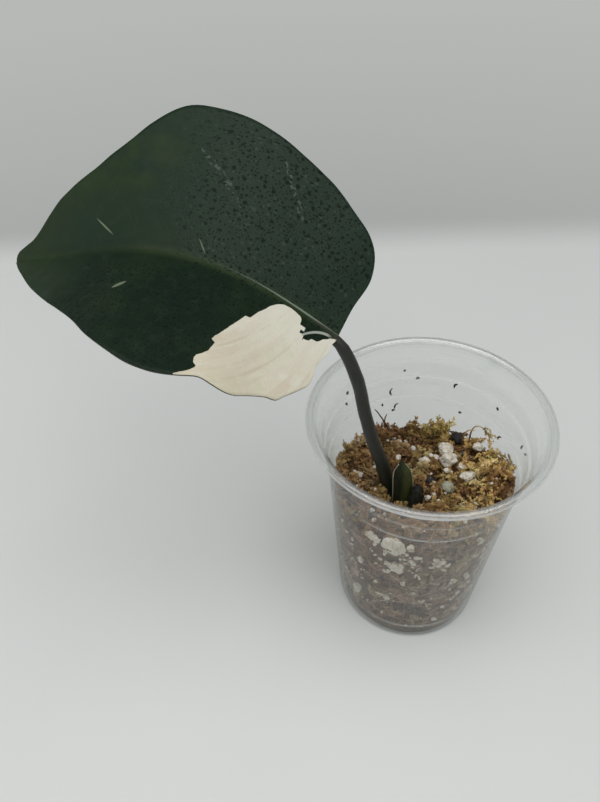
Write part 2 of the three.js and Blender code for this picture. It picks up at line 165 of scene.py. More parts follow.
class Value:
    """What a node gives out. A sum written with it adds the nodes that work it out."""

    def __init__(self, socket):
        self.socket = socket

    def __add__(self, other):
        return calc("ADD", self, other)

    def __radd__(self, other):
        return calc("ADD", other, self)

    def __sub__(self, other):
        return calc("SUBTRACT", self, other)

    def __rsub__(self, other):
        return calc("SUBTRACT", other, self)

    def __mul__(self, other):
        return calc("MULTIPLY", self, other)

    def __truediv__(self, other):
        return calc("DIVIDE", self, other)

    def __pow__(self, other):
        return calc("POWER", self, other)

    def __gt__(self, other):
        return calc("GREATER_THAN", self, other)

    def __lt__(self, other):
        return calc("LESS_THAN", self, other)

    def __abs__(self):
        return calc("ABSOLUTE", self)


def recipe(name):
    """Starts a material. The nodes made after this are its own."""
    global material, tree
    material = bpy.data.materials.new(name)
    material.use_nodes = True
    tree = material.node_tree


def feed(node, key, value):
    """Joins an input of a node to a value, or sets it to a constant."""
    if isinstance(value, Value):
        tree.links.new(value.socket, node.inputs[key])
    else:
        node.inputs[key].default_value = value


def add(kind, inputs=None, **settings):
    node = tree.nodes.new("ShaderNode" + kind)
    for key, value in settings.items():
        setattr(node, key, value)
    for key, value in (inputs or {}).items():
        feed(node, key, value)
    return node


def made(kind, inputs=None, out=0, **settings):
    return Value(add(kind, inputs, **settings).outputs[out])


def calc(operation, a, b=0.0, c=0.0, clamp=False):
    return made("Math", {0: a, 1: b, 2: c}, operation=operation, use_clamp=clamp)


def scaled(value, factor, start):
    return calc("MULTIPLY_ADD", value, factor, start)


def larger(a, b):
    return calc("MAXIMUM", a, b)


def calc_vector(operation, *vectors):
    out = "Value" if operation == "LENGTH" else 0
    return made("VectorMath", dict(enumerate(vectors)), out, operation=operation)


def split(vector, kind="SeparateXYZ"):
    return [Value(part) for part in add(kind, {0: vector}).outputs]


def joined(x=0, y=0, z=0):
    return made("CombineXYZ", {0: x, 1: y, 2: z})


def stretched(place, scale):
    return made("Mapping", {"Vector": place, "Scale": scale})


def blend(share, a, b, kind="MIX"):
    a, b = [(*c, 1) if isinstance(c, tuple) else c for c in (a, b)]
    return made("Mix", {0: share, 6: a, 7: b}, 2, data_type="RGBA", blend_type=kind)


def layered(colour, layers):
    """A colour with others laid over it, each a share and its colour."""
    for share, over in layers:
        colour = blend(share, colour, over)
    return colour


def multiplied(a, b):
    return blend(1, a, b, "MULTIPLY")


def ramp(value, stops):
    node = add("ValToRGB", {0: value})
    line = node.color_ramp
    while len(line.elements) > 1:
        line.elements.remove(line.elements[-1])
    for k, (place, colour) in enumerate(stops):
        e = line.elements[0] if k == 0 else line.elements.new(place)
        e.position = place
        e.color = (*colour, 1) if isinstance(colour, tuple) else (colour, colour, colour, 1)
    return Value(node.outputs[0])


def speckle(place, scale, detail=4, rough=0.6):
    return made("TexNoise", {"Vector": place, "Scale": scale, "Detail": detail, "Roughness": rough})


def between(value, low, high):
    """0 under low, 1 over high, smooth between them."""
    return made("MapRange", {0: value, 1: low, 2: high, 3: 0, 4: 1}, interpolation_type="SMOOTHSTEP")


def under(value, low, high):
    """1 under low, 0 over high, smooth between them."""
    return 1 - between(value, low, high)


def relief(height, distance, strength):
    return made("Bump", {"Height": height, "Distance": distance, "Strength": strength})


def surface(colour, rough, shine=0.5, normal=None):
    """Ends a material with its colour, roughness, shine and relief."""
    shader = tree.nodes["Principled BSDF"]
    feed(shader, "Base Color", colour)
    feed(shader, "Roughness", rough)
    feed(shader, "Specular IOR Level", shine)
    if normal:
        feed(shader, "Normal", normal)
    return material


def objectwise():
    return made("TexCoord", out="Object")


# ---- camera, light and floor

# Place in millimetres as for the part, tilt and roll in radians, lens and film width in millimetres.
CAMERA_PLACE = Vector((-50.888, -189.642, 315.004))
PITCH, ROLL = 0.780628, -0.029916
LENS, FILM_WIDTH = 31.42, 36
forward = Vector((0, math.cos(PITCH), -math.sin(PITCH)))
upward = Vector((0, math.sin(PITCH), math.cos(PITCH)))
rightward = Vector((1, 0, 0))
cam_x = rightward * math.cos(ROLL) + upward * math.sin(ROLL)
cam_y = -rightward * math.sin(ROLL) + upward * math.cos(ROLL)
camera = bpy.data.objects.new("camera", bpy.data.cameras.new("camera"))
bpy.context.scene.collection.objects.link(camera)
camera.data.lens = LENS
camera.data.sensor_width = FILM_WIDTH
camera.data.clip_start = 0.01
turned = Matrix((cam_x, cam_y, -forward)).transposed().to_4x4()
camera.matrix_world = Matrix.Translation(PLACE @ CAMERA_PLACE) @ turned
bpy.context.scene.camera = camera

bpy.context.scene.view_settings.view_transform = "Standard"

world = bpy.data.worlds.new("studio")
bpy.context.scene.world = world
world.use_nodes = True
tree = world.node_tree
rise = split(made("TexCoord", out="Generated"))[2]
sky = ramp(scaled(rise, 0.5, 0.5), [
    (0, (0.34, 0.35, 0.34)), (0.22, (0.35, 0.365, 0.355)), (0.3, (0.42, 0.435, 0.42)),
    (0.37, (0.475, 0.485, 0.475)), (0.5, (0.42, 0.43, 0.42)), (0.62, (0.3, 0.305, 0.3)), (1, (0.3, 0.305, 0.305))])
feed(tree.nodes["Background"], 0, sky)
feed(tree.nodes["Background"], 1, 1)


def lamp(name, place, aim, width, height, power):
    light = bpy.data.lights.new(name, "AREA")
    light.shape = "RECTANGLE"
    light.size = width
    light.size_y = height
    light.energy = power
    o = bpy.data.objects.new(name, light)
    o.location = place
    o.rotation_mode = "QUATERNION"
    o.rotation_quaternion = (Vector(aim) - Vector(place)).to_track_quat("-Z", "Y")
    bpy.context.scene.collection.objects.link(o)


lamp("overhead", (0, -0.3, 1.2), (0, 0, 0.05), 1.7, 1.2, 10.8)
lamp("window", (-1.1, -0.1, 0.8), (0, 0, 0.08), 0.7, 0.7, 1.4)

# The floor, in metres: half size, where its middle lies, and the depths between which it fades into the sky.
FLOOR_HALF = 3
FLOOR_MIDDLE = (0, -2.65, -0.0002)
FLOOR_FADE = (0.285, 0.345)


def make_floor():
    recipe("pale_paper")
    place = objectwise()
    shade = ramp(speckle(place, 3, 3), [(0.3, (0.74, 0.76, 0.745)), (0.7, (0.79, 0.805, 0.79))])
    surface(shade, 0.62)
    paper = Value(tree.nodes["Principled BSDF"].outputs[0])
    fade = between(split(place)[1], *FLOOR_FADE)
    mixed = made("MixShader", {0: fade, 1: paper, 2: made("BsdfTransparent")})
    feed(tree.nodes["Material Output"], 0, mixed)
    bm = bmesh.new()
    bmesh.ops.create_grid(bm, x_segments=40, y_segments=40, size=FLOOR_HALF)
    bmesh.ops.translate(bm, verts=bm.verts, vec=FLOOR_MIDDLE)
    return placed("floor", bm, [material])


floor = make_floor()

# ---- clear cup

# Thickness of the sheet here, and of the wall in the part's source.
SHEET, SOLID_WALL = 0.5, 0.7
# The rolled rim's radius in section and its middle, as radius from the axis and height.
BEAD, BEAD_CENTRE = 1.7, (47.3, 115.7)
# Height of the raised base panel, and the foot from its middle out to the wall. Then the wall's outer face.
PANEL = 5.2
FOOT = [(0, PANEL + SHEET), (27.9, PANEL + SHEET), (30.9, 0.62), (32, 0.55), (32.5, 1.3)]
WALL = [(33, 0.7), (39.7, 88.6), (40.4, 90.2), (41.2, 99), (42.1, 100.6), (42.9, 107.6), (43.7, 109.2), (44.6, 113.4)]


def inner_radius(z):
    """Radius of the inner face of the wall in the part's source."""
    k = 1
    while k < len(WALL) - 1 and WALL[k][1] <= z:
        k += 1
    (r0, z0), (r1, z1) = WALL[k - 1], WALL[k]
    return r0 + (r1 - r0) * (z - z0) / (z1 - z0) - SOLID_WALL


def softened(points, radius):
    """A profile with its corners rounded off."""
    out = [points[0]]
    for a, b, c in zip(points, points[1:], points[2:]):
        a, b, c = Vector(a), Vector(b), Vector(c)
        r = min(radius, (a - b).length * 0.45, (c - b).length * 0.45)
        p, q = b + (a - b).normalized() * r, b + (c - b).normalized() * r
        for t in (0, 0.33, 0.67, 1):
            out.append(tuple(p.lerp(b, t).lerp(b.lerp(q, t), t)))
    return out + [points[-1]]


def revolve(bm, profile, segments):
    """Turns a profile of (radius, height) points right round the cup's axis."""
    verts = [bm.verts.new((r, 0, z)) for r, z in profile]
    edges = [bm.edges.new(pair) for pair in zip(verts, verts[1:])]
    bmesh.ops.spin(bm, geom=verts + edges, cent=(0, 0, 0), axis=(0, 0, 1), angle=2 * math.pi,
                   steps=segments, use_merge=True, use_normal_flip=False)
    bmesh.ops.remove_doubles(bm, verts=bm.verts, dist=1e-4)
    face_out(bm)


# Painted highlight lines round the wall: height in millimetres, half width and strength.
PAINTED_STEP_LINES = ((89.6, 0.5, 0.85), (100, 0.48, 0.8), (108.7, 0.4, 0.3), (11, 0.36, 0.55), (1, 0.5, 0.6))
# Painted highlight lines along the bead: angle round its middle and half width in radians, and strength.
PAINTED_BEAD_LINES = ((2.55, 0.2, 0.2), (0.1, 0.32, 0.55), (1.25, 0.2, 0.1))


def clear_plastic():
    """Thin clear sheet: mostly see-through, glossy at a slant, with a faint milky haze, painted highlight lines along
    its steps and bead, and painted dark edges at a slant.
    """
    recipe("clear_cup_plastic")
    place = objectwise()
    x, y, z = split(calc_vector("SUBTRACT", place, tuple(AXIS)))[:3]
    height = z * 1000
    flat = joined(x, y)
    radius = calc_vector("LENGTH", flat) * 1000
    facing = made("LayerWeight", {0: 0.5}, out="Facing")
    bead = between(height, 113.4, 114.2)
    # the wall
    mirror = scaled(facing ** 6, 0.6, 0.028)
    haze_and_painted_light = scaled(between(speckle(place, 60), 0.35, 0.7), 0.014, 0.012)
    haze_and_painted_light = haze_and_painted_light + under(height, 74, 92) * 0.01
    near = under(y, -0.04, -0.015)
    # painted light: the front wall paler high up, where the lamp shines in through the cup's mouth
    upper = between(height, 80, 92) * (1 - bead)
    haze_and_painted_light = haze_and_painted_light + upper * near * 0.035
    # painted reflection: pale streaks of milky haze round the sheet, high on the wall
    around = calc_vector("MULTIPLY", calc_vector("NORMALIZE", flat), (1.3, 1.3, 0))
    around = calc_vector("ADD", around, joined(z=height * 0.16))
    painted_streaks = between(speckle(around, 1, 4, 0.62), 0.52, 0.72)
    haze_and_painted_light = haze_and_painted_light + painted_streaks * between(height, 84, 90) * 0.05
    waver = scaled(speckle(place, 25, 2), 0.8, -0.4)
    edge = None
    # the steps: more gloss on the front wall, and painted highlight lines of milky haze round the rest
    for level, wide, strength in PAINTED_STEP_LINES:
        ledge = under(abs(height - level), wide * 0.35, wide)
        edge = ledge if edge is None else larger(edge, ledge)
        ledge = ledge * scaled(waver, strength, strength)
        mirror = mirror + ledge * near
        haze_and_painted_light = haze_and_painted_light + ledge * (1 - near) * 0.22
    # the bead: clear in its middle, with painted highlight lines along its inner side and under its outer side
    turn = calc("ARCTAN2", height - BEAD_CENTRE[1], radius - BEAD_CENTRE[0])
    for middle, wide, strength in PAINTED_BEAD_LINES:
        light = under(abs(turn - middle), wide * 0.3, wide) * bead
        haze_and_painted_light = haze_and_painted_light + light * strength
    mirror = calc("ADD", mirror, bead * 0.05, clamp=True)
    haze_and_painted_light = calc("MINIMUM", haze_and_painted_light, 0.6)
    drawn = speckle(stretched(place, (1, 1, 0.09)), 420, 3)
    ripples = relief(drawn, 0.00025, 0.35)
    # painted dark edges standing in for refraction: less comes through the sheet the more it is seen at a slant, most
    # along the bead
    wall_tint_and_painted_edges = ramp(facing, [(0, (0.988, 0.993, 0.99)), (0.7, (0.975, 0.98, 0.977)), (0.88, (0.9, 0.91, 0.905)),
                              (1, (0.45, 0.47, 0.46))])
    bead_tint_and_painted_edges = ramp(facing, [(0, (0.985, 0.99, 0.987)), (0.4, (0.975, 0.98, 0.977)), (0.62, (0.92, 0.93, 0.925)),
                              (0.8, (0.86, 0.87, 0.865)), (1, (0.7, 0.715, 0.71))])
    tint = blend(edge * (1 - bead), blend(bead, wall_tint_and_painted_edges, bead_tint_and_painted_edges), (0.985, 0.99, 0.987))
    clear = made("BsdfTransparent", {0: tint})
    lifted = calc_vector("NORMALIZE", calc_vector("ADD", ripples, joined(z=edge * 1.6)))
    milky = made("BsdfDiffuse", {0: (0.88, 0.87, 0.86, 1), "Normal": lifted})
    gloss = made("BsdfGlossy", {0: (1, 1, 1, 1), "Roughness": 0.07, "Normal": ripples})
    body = made("MixShader", {0: haze_and_painted_light, 1: clear, 2: milky})
    whole = made("MixShader", {0: mirror, 1: body, 2: gloss})
    feed(tree.nodes["Material Output"], 0, whole)
    tree.nodes.remove(tree.nodes["Principled BSDF"])
    return material


def make_cup():
    """The sheet's inner face as a profile from the middle of the base to the end of the rolled rim, turned round."""
    profile = softened(FOOT + [(r - SHEET, z) for r, z in WALL[1:]], 0.8)
    for degrees in range(180, -131, -18):
        a = math.radians(degrees)
        profile.append(tuple(c + d for c, d in zip(BEAD_CENTRE, polar(BEAD, a))))
    bm = bmesh.new()
    revolve(bm, profile, 144)
    # the sheet's inner face looks in and up, and its thickness goes the other way
    probe = max(bm.faces, key=lambda f: f.calc_center_median().z if f.calc_center_median().xy.length > 46 else -1)
    if probe.normal.z < 0:
        bmesh.ops.reverse_faces(bm, faces=bm.faces)
    cup = finished("clear_cup", bm, [clear_plastic()])
    solid = cup.modifiers.new("sheet", "SOLIDIFY")
    solid.thickness = SHEET * MM
    solid.offset = -1
    solid.use_even_offset = True
    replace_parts(cup, "cup")


make_cup()

# ---- leaf blade

# Where the stalk meets the blade, and how far the midrib's plane is turned towards the back.
BLADE_BASE = Vector((-36.6, 9.3, 150))
TURN = math.radians(15)
OUTWARD = Vector((-math.cos(TURN), math.sin(TURN), 0))
ACROSS = Vector((math.sin(TURN), math.cos(TURN), 0))
# The blade's midrib, as distance outward and height over the base. Its margins lie along it and off it.
MIDRIB = Line([
    (0, 0), (16.5, 11.4), (34, 21), (53, 26.9), (73, 27.7), (92.5, 24.1), (111.8, 18.7), (125.8, 15.4)], 40)
MIDRIB_RADII = [2.2, 1.5, 1.1, 0.8, 0.6]
# How far each half is folded up, and both together, in degrees.
FAR_FOLD, NEAR_FOLD = 44, -5
FOLDED = FAR_FOLD + NEAR_FOLD
FAR_MARGIN = Line([
    (0, 2), (1, 12), (1, 24), (5, 32), (10.7, 36.7), (17.2, 40.1), (23.3, 43.6), (28.9, 46.2), (33.6, 47.3),
    (41.5, 48.9), (49.2, 50.9), (55.8, 53.3), (61.7, 54.8), (67.7, 55.2), (70.7, 54.4), (73.7, 52.4), (79.7, 46.3),
    (85.9, 39.5), (94.4, 34.3), (104.2, 28.9), (109.3, 25.5), (114.9, 21.3), (121, 15), (126.7, 8.4), (131.2, 5.6),
    (134.1, 3.8), (134.9, 2), (134.6, 0.4)])
# It lies further out by this much, apart from the tip.
FAR_MARGIN = Line([p + Vector((0, 0.9 * min(1, (p.y - 0.4) / 6), 0)) for p in FAR_MARGIN.points])
NEAR_MARGIN = Line([
    (0, 2), (1.1, 5), (1, 8.4), (1.5, 10.9), (2.7, 14.2), (3.5, 17.5), (3.5, 23.6), (3.5, 26.3), (4.2, 28.4),
    (5.9, 31.2), (8, 34.3), (10.1, 37.1), (12.4, 40.4), (15.7, 41.2), (21.1, 44.3), (26.2, 48.1), (30.1, 49.4),
    (34.4, 49.4), (39, 48.9), (44.4, 50.5), (50.5, 51.8), (57, 52.4), (64, 52.2), (71.8, 49.6), (80.5, 44.4),
    (91.5, 35.7), (98.6, 31.1), (105.9, 26.7), (115.4, 19.6), (120.8, 15), (127.2, 8.7), (131.4, 4.4), (133.6, 1.6),
    (134.6, 0.4)])
# Millimetres to one unit of the blade's map.
BLADE_SCALE = 200
# Side veins: how they lean and bend to the tip, their spacing, and how far the far half's lie further out.
VEIN_LEAN, VEIN_BEND, VEIN_SPACING, VEIN_SHIFT = 0.42, 0.0035, 9.5, 2.5
# Ten spacings, added so that no vein's number is under nought.
TEN_SPACINGS = 95


def side_vein(u, v):
    """0 on a side vein and 1 halfway to the next."""
    root = u - (VEIN_LEAN * abs(v) + VEIN_BEND * v * v)
    return abs(((root + (VEIN_SHIFT if v > 0 else 0)) / VEIN_SPACING) % 1.0 - 0.5) * 2


def blade_point(u, v):
    t = min(max(u / MIDRIB.length, 0), 1)
    flat, slope = MIDRIB.at(t), MIDRIB.way(t)
    tangent = OUTWARD * slope.x + Vector((0, 0, slope.y))
    up = -OUTWARD * slope.y + Vector((0, 0, slope.x))
    fold = math.radians(FAR_FOLD if v > 0 else NEAR_FOLD)
    rim = min(abs(v) / 50, 1) ** 2
    wave = 1.2 * rim * math.sin(2 * math.pi * u / 38 + (0 if v > 0 else 2))
    # the fold is rounded off beside the midrib, and the blade swells a little between its veins
    lift = math.sqrt(v * v + 1.6) - 1.265
    swell = 0.12 * (1 - side_vein(u, v) ** 2) * min(1, abs(v) / 10) * max(0, 1 - abs(v) / 60)
    return (BLADE_BASE + OUTWARD * flat.x + Vector((0, 0, flat.y)) + tangent * (u - t * MIDRIB.length)
            + ACROSS * (v * math.cos(fold)) + up * (lift * math.sin(fold) + wave - swell))


def on_blade():
    """The blade's map, and the distances along the midrib and across it in millimetres."""
    uv = made("UVMap", uv_map="blade")
    along_it, across = split(uv)[:2]
    return uv, along_it * BLADE_SCALE, scaled(across, BLADE_SCALE, -BLADE_SCALE / 2)


def stepped(value, points, across, up):
    """A line with corners through points, read at value. Its two axes have the spans across and up."""
    (x0, x1), (y0, y1) = across, up
    node = add("FloatCurve", {"Value": scaled(value, 1 / (x1 - x0), -x0 / (x1 - x0))})
    curve = node.mapping.curves[0]
    while len(curve.points) > 2:
        curve.points.remove(curve.points[1])
    spots = [((x - x0) / (x1 - x0), (y - y0) / (y1 - y0)) for x, y in points]
    curve.points[0].location = spots[0]
    curve.points[1].location = spots[-1]
    for spot in spots[1:-1]:
        curve.points.new(*spot)
    for p in curve.points:
        p.handle_type = "VECTOR"
    node.mapping.update()
    return scaled(Value(node.outputs[0]), y1 - y0, y0)


def painted_veins(u, v, wide, fade):
    """Where a place's side vein leaves the midrib, and 1 on a vein. It fades out away from the midrib."""
    reach = abs(v)
    root = u - (reach * VEIN_LEAN + v * v * VEIN_BEND)
    beat = (root + (v > 0) * VEIN_SHIFT + TEN_SPACINGS) * (1 / VEIN_SPACING)
    return root, under(abs(calc("FRACT", beat) - 0.5), 0, wide) * under(reach, *fade)


# Outer edge of the cream sector: distance along its line, and offset from it towards the tip.
CREAM_EDGE = [
    (-4, -3.4), (-1.5, -1.3), (0.44, -0.26), (3.08, 0.6), (7.48, 1.05), (9.33, 1.46), (13.95, 1.62), (14.83, 3.21),
    (17.71, 3.25), (22.94, 3.62), (27.02, 3.76), (30.25, 4.2), (32.4, 4.16), (32.6, 2.3), (34.38, 2.1),
    (36.97, 1.6), (39.23, 2.29), (41.24, 3.16), (42.56, 3.01), (44.34, 1.74), (44.69, 0.34), (45.7, 0.2),
    (47.74, 0.85), (48.82, 1.53), (50.97, 3.09), (51.9, 3.7), (52.5, 2.8), (54, 2.6)]
# Lower edge of the green band that stays beside the midrib: distance along it, and width.
GREEN_BAND = [
    (0, 1.2), (2.4, 2.6), (3.4, 3.7), (5.1, 5.4), (6, 6.9), (7, 8), (7.8, 8.1), (9.1, 8.4), (9.9, 9.8),
    (11.1, 10.3), (11.9, 10.4), (12.2, 12), (12.3, 9), (13.2, 8.9), (14.1, 9.2), (14.2, 5.9), (15.1, 5.6),
    (15.2, 3.9), (15.35, 3), (16.1, 2.1), (18.6, 1.5), (20.8, 1.2), (23.3, 1.4), (25.8, 3.2), (28, 3.4)]
# The line that the cream sector's edge follows: a place on it and its way, out along the midrib and down from it.
CREAM_OUT, CREAM_DOWN, CREAM_WAY = 26, 3, (0.335, 0.942)
# Pale scratches and dotted streaks: two ends, half width, strength, and whether it is dotted.
SCRATCHES = (
    ((98.2, 13.6), (90.8, 6.6), 0.42, 0.62, False), ((81.6, -21.1), (77.5, -17.4), 0.85, 0.55, False),
    ((59.6, 8.6), (55.9, 3.4), 0.38, 0.45, False), ((66, 41), (50.3, 23.3), 1.2, 0.42, True),
    ((44, 45), (30.2, 26.9), 1.1, 0.42, True))
# Sizes of water marks: how many to the map, least and most half size as shares of their spacing.
MARK_SIZES = ((64, 0.06, 0.25), (104, 0.07, 0.27), (170, 0.1, 0.27))


def inside_cream(u, v):
    """How far inside the cream sector's edge a place lies."""
    du, dv = u - CREAM_OUT, v + CREAM_DOWN
    run = du * CREAM_WAY[0] + dv * -CREAM_WAY[1]
    return stepped(run, CREAM_EDGE, (-4, 54), (-4, 7)) - (du * CREAM_WAY[1] + dv * CREAM_WAY[0])


def leaf_top():
    recipe("leaf_upper_side")
    uv, u, v = on_blade()
    reach = abs(v)
    rag = scaled(speckle(uv, 90, 3, 0.5), 1, -0.5)
    # cream sector on the near half
    inside = between(inside_cream(u, v) + rag * 0.45, -0.14, 0.14)
    band = stepped(u, GREEN_BAND, (0, 28), (0, 12))
    below = between(scaled(v, -1, band * -1) + rag * 0.5, -0.12, 0.12)
    near = v < 0
    cream = inside * below * near
    # a notch in the green beside the base, and one pale curved side vein
    notch = between(u, 12.5, 13) * (between(reach, 5.3, 5.8) * under(reach, 7.2, 7.7))
    cream = larger(cream, notch * near * inside)
    x = u - 3
    arch = 1.85 + (x * 0.07 + x * x * 0.068)
    pale_vein = under(abs(arch - reach), 0.35, 0.95) * (near * (between(u, 1.5, 4.5) * under(u, 12.5, 13.5)))
    # green, with painted sheen: lighter at the far side and the tip, darker on the near half
    root, vein = painted_veins(u, v, 0.045, (34, 50))
    fine = made("TexWave", {"Vector": joined(root, reach * 0.08), "Scale": 0.42, "Distortion": 1.4, "Detail": 2,
                            "Detail Scale": 1}, "Fac")
    broad = speckle(uv, 9)
    mottle = speckle(uv, 38, 5)
    far = larger(between(v, -4, 8), between(u, 88, 126) * 0.8)
    green = blend(far, (0.0046, 0.015, 0.0075), (0.0105, 0.0268, 0.0125))
    # an olive band beside the midrib, wider on the far half
    midline = under(reach / scaled(v > 0, 1.6, 2.8), 0.15, 1) * scaled(between(u, 50, 95), -0.42, 0.6)
    flush = between(v, 18, 34) * between(broad, 0.42, 0.6) * between(u, 66, 84)
    green = layered(green, (
        (between(u, 96, 132) * 0.6, (0.019, 0.036, 0.012)),
        (between(broad, 0.38, 0.68) * 0.45, (0.017, 0.031, 0.01)),
        (between(mottle, 0.48, 0.72) * 0.35, (0.024, 0.04, 0.025)), (vein * 0.07, (0.026, 0.044, 0.018)),
        (midline, (0.034, 0.052, 0.017)), (flush * 0.6, (0.024, 0.046, 0.012))))
    # dried water marks: dark and pale spots towards the base; the dark ones are also painted shade, where the marks
    # dull the sheen
    region = under(u + broad * 24, 66, 92)
    band = (v < -6) * under(u + broad * 20, 96, 124)
    region = larger(region, band * 0.85)
    dark_spot = pale_spot = 0
    bent = made("TexNoise", {"Vector": uv, "Scale": 70, "Detail": 3}, "Color")
    bent = calc_vector("ADD", uv, calc_vector("MULTIPLY", calc_vector("SUBTRACT", bent, (0.5, 0.5, 0.5)),
                                              (0.007, 0.007, 0)))
    for scale, least, most in MARK_SIZES:
        spots = add("TexVoronoi", {"Vector": bent, "Scale": scale}, voronoi_dimensions="2D").outputs
        pick = split(Value(spots["Color"]), "SeparateColor")
        size = scaled(pick[0], most - least, least)
        spot = under(Value(spots["Distance"]) - size, -0.09, 0.07) * region
        dark_spot = larger(dark_spot, spot * (pick[1] < 0.62))
        pale_spot = larger(pale_spot, spot * (pick[1] > 0.84))
    # painted sheen: grey over the far half towards the base, with the pale marks strongest on the far half
    green = layered(green, (
        (under(u, 45, 80) * far * 0.55, (0.0225, 0.0385, 0.0275)), (dark_spot * 0.82, (0.0028, 0.0075, 0.0045)),
        (pale_spot * scaled(far, 0.2, 0.04), (0.085, 0.11, 0.095))))
    # cream: faint pinkish and green-grey veins, lighter towards the midrib, and painted shade towards its outer edge
    lean = u - reach * scaled(u, 0.012, 0.08)
    veined = speckle(joined(lean * 0.24, reach * 0.022), 1, 3)
    ribs = under(abs(calc("FRACT", scaled(lean, 1 / 9, 0.3)) - 0.5), 0, 0.07)
    ribs = ribs * between(speckle(uv, 22, 2), 0.4, 0.56)
    white = ramp(speckle(uv, 16, 3), [(0.34, (0.655, 0.63, 0.475)), (0.46, (0.7, 0.67, 0.535)),
                                      (0.54, (0.69, 0.64, 0.51)), (0.66, (0.73, 0.705, 0.59))])
    white = layered(white, (
        (between(veined, 0.46, 0.6) * 0.45, (0.6, 0.5, 0.39)), (ribs * 0.42, (0.52, 0.46, 0.33)),
        (under(reach, 4, 34) * 0.55, (0.83, 0.815, 0.72)), (between(reach, 34, 44) * 0.35, (0.62, 0.57, 0.4))))
    # pale midrib, from the stalk to past the middle
    thick = scaled(between(u, 0, 45), -0.4, 0.62)
    beside = abs(v - scaled(u, 0.014, 0.85))
    line = under(beside - thick, -0.35, 0.25) * under(u, 24, 54)
    colour = layered(blend(cream, green, white), (
        (pale_vein * 0.85, (0.47, 0.49, 0.43)), (line * 0.85, (0.235, 0.285, 0.225)),
        (under(abs(u) + reach, 0.8, 3) * 0.75, (0.09, 0.055, 0.03))))
    dots = between(speckle(uv, 130, 2), 0.5, 0.62)
    for (u0, v0), (u1, v1), wide, strength, dotted in SCRATCHES:
        length = math.hypot(u1 - u0, v1 - v0)
        cu, cv = (u1 - u0) / length, (v1 - v0) / length
        du, dv = u - u0, v - v0
        run = du * cu + dv * cv
        taper = calc("MULTIPLY", run * (length - run), 4 / length ** 2, clamp=True) ** 0.6 * wide
        mark = under(abs(du * cv - dv * cu) - taper, -0.3, 0.05) * (taper > 0.02)
        if dotted:
            mark = mark * dots
        colour = blend(mark * strength, colour, (0.15, 0.18, 0.16) if dotted else (0.27, 0.31, 0.21))
    gloss = ramp(speckle(uv, 30, 3), [(0.3, 0.34), (0.7, 0.46)])
    gloss = made("Mix", {0: dark_spot, 2: gloss, 3: 0.62}, data_type="FLOAT")
    gloss = made("Mix", {0: cream, 2: gloss, 3: 0.52}, data_type="FLOAT")
    height = vein * -0.12 * (1 - cream) + fine * 0.02 + speckle(uv, 700, 2) * 0.12 + dark_spot * 0.12 + line * 0.6
    return surface(colour, gloss, 0.13, relief(height, 0.0005, 0.7))


def leaf_under():
    recipe("leaf_under_side")
    uv, u, v = on_blade()
    rag = scaled(speckle(uv, 90, 3), 1.4, -0.7)
    cream = between(inside_cream(u, v) + rag, -0.5, 0.5) * (v < -2.5)
    vein = painted_veins(u, v, 0.06, (36, 52))[1]
    green = ramp(speckle(uv, 12, 5), [(0.3, (0.045, 0.075, 0.042)), (0.7, (0.075, 0.115, 0.06))])
    green = blend(vein * 0.5, green, (0.12, 0.17, 0.085))
    colour = blend(cream, green, (0.72, 0.67, 0.52))
    return surface(colour, 0.55, 0.5, relief(vein * 0.8 + speckle(uv, 500, 2) * 0.15, 0.0005, 0.8))


def leaf_margin_painted_shade():
    recipe("leaf_margin_painted_shade")
    # painted shade: the blade's edge dark, as in the shadow beneath it
    colour = ramp(speckle(objectwise(), 300), [(0.3, (0.022, 0.026, 0.016)), (0.7, (0.05, 0.052, 0.032))])
    return surface(colour, 0.5)


def make_blade():
    rows, columns = 120, 64
    bm = bmesh.new()
    bmesh.ops.create_grid(bm, x_segments=rows, y_segments=columns, size=1)
    layer = bm.loops.layers.uv.new("blade")
    flat = {}
    for vert in bm.verts:
        s = (vert.co.x + 1) / 2
        across = vert.co.y
        edge = (FAR_MARGIN if across > 0 else NEAR_MARGIN).at(s)
        k = abs(across)
        ease = s ** 1.15 * MIDRIB.length
        u = ease + (edge.x - ease) * k
        v = math.copysign(edge.y * k, across)
        flat[vert] = (u, v)
        vert.co = blade_point(u, v)
    for f in bm.faces:
        for loop in f.loops:
            u, v = flat[loop.vert]
            loop[layer].uv = (u / BLADE_SCALE, v / BLADE_SCALE + 0.5)
    face_out(bm)
    if sum(f.normal.z for f in bm.faces) < 0:
        bmesh.ops.reverse_faces(bm, faces=bm.faces)
    blade = finished("leaf_blade", bm, [leaf_top(), leaf_under(), leaf_margin_painted_shade()])
    solid = blade.modifiers.new("thickness", "SOLIDIFY")
    solid.thickness = 0.55 * MM
    solid.offset = 0
    solid.use_even_offset = True
    solid.material_offset = 1
    solid.material_offset_rim = 2
    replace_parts(blade, "leaf")


make_blade()

# ---- leaf stalk and midrib

STALK = [
    (-12.8, -2.6, 64), (-14.3, -1.8, 76), (-17.4, -0.2, 89.5), (-21.2, 1.4, 100), (-25.4, 3.6, 116),
    (-28, 4.9, 129.5), (-31, 6.4, 138.6), (-34.8, 8.4, 146.4)]
STALK_RADII = [3.1, 3.1, 2.9, 2.7, 2.65, 2.65, 2.6, 2.4]


def stalk_skin():
    recipe("stalk_skin")
    place = objectwise()
    fibre = speckle(stretched(place, (1, 1, 0.12)), 900)
    colour = ramp(speckle(place, 70), [(0.3, (0.014, 0.015, 0.012)), (0.55, (0.022, 0.022, 0.018)),
                                       (0.75, (0.022, 0.027, 0.016))])
    colour = blend(between(fibre, 0.45, 0.7) * 0.4, colour, (0.042, 0.038, 0.031))
    colour = blend(under(split(place)[2], 0.074, 0.1) * 0.6, colour, (0.012, 0.018, 0.007))
    return surface(colour, 0.42, 0.4, relief(fibre, 0.0003, 0.5))


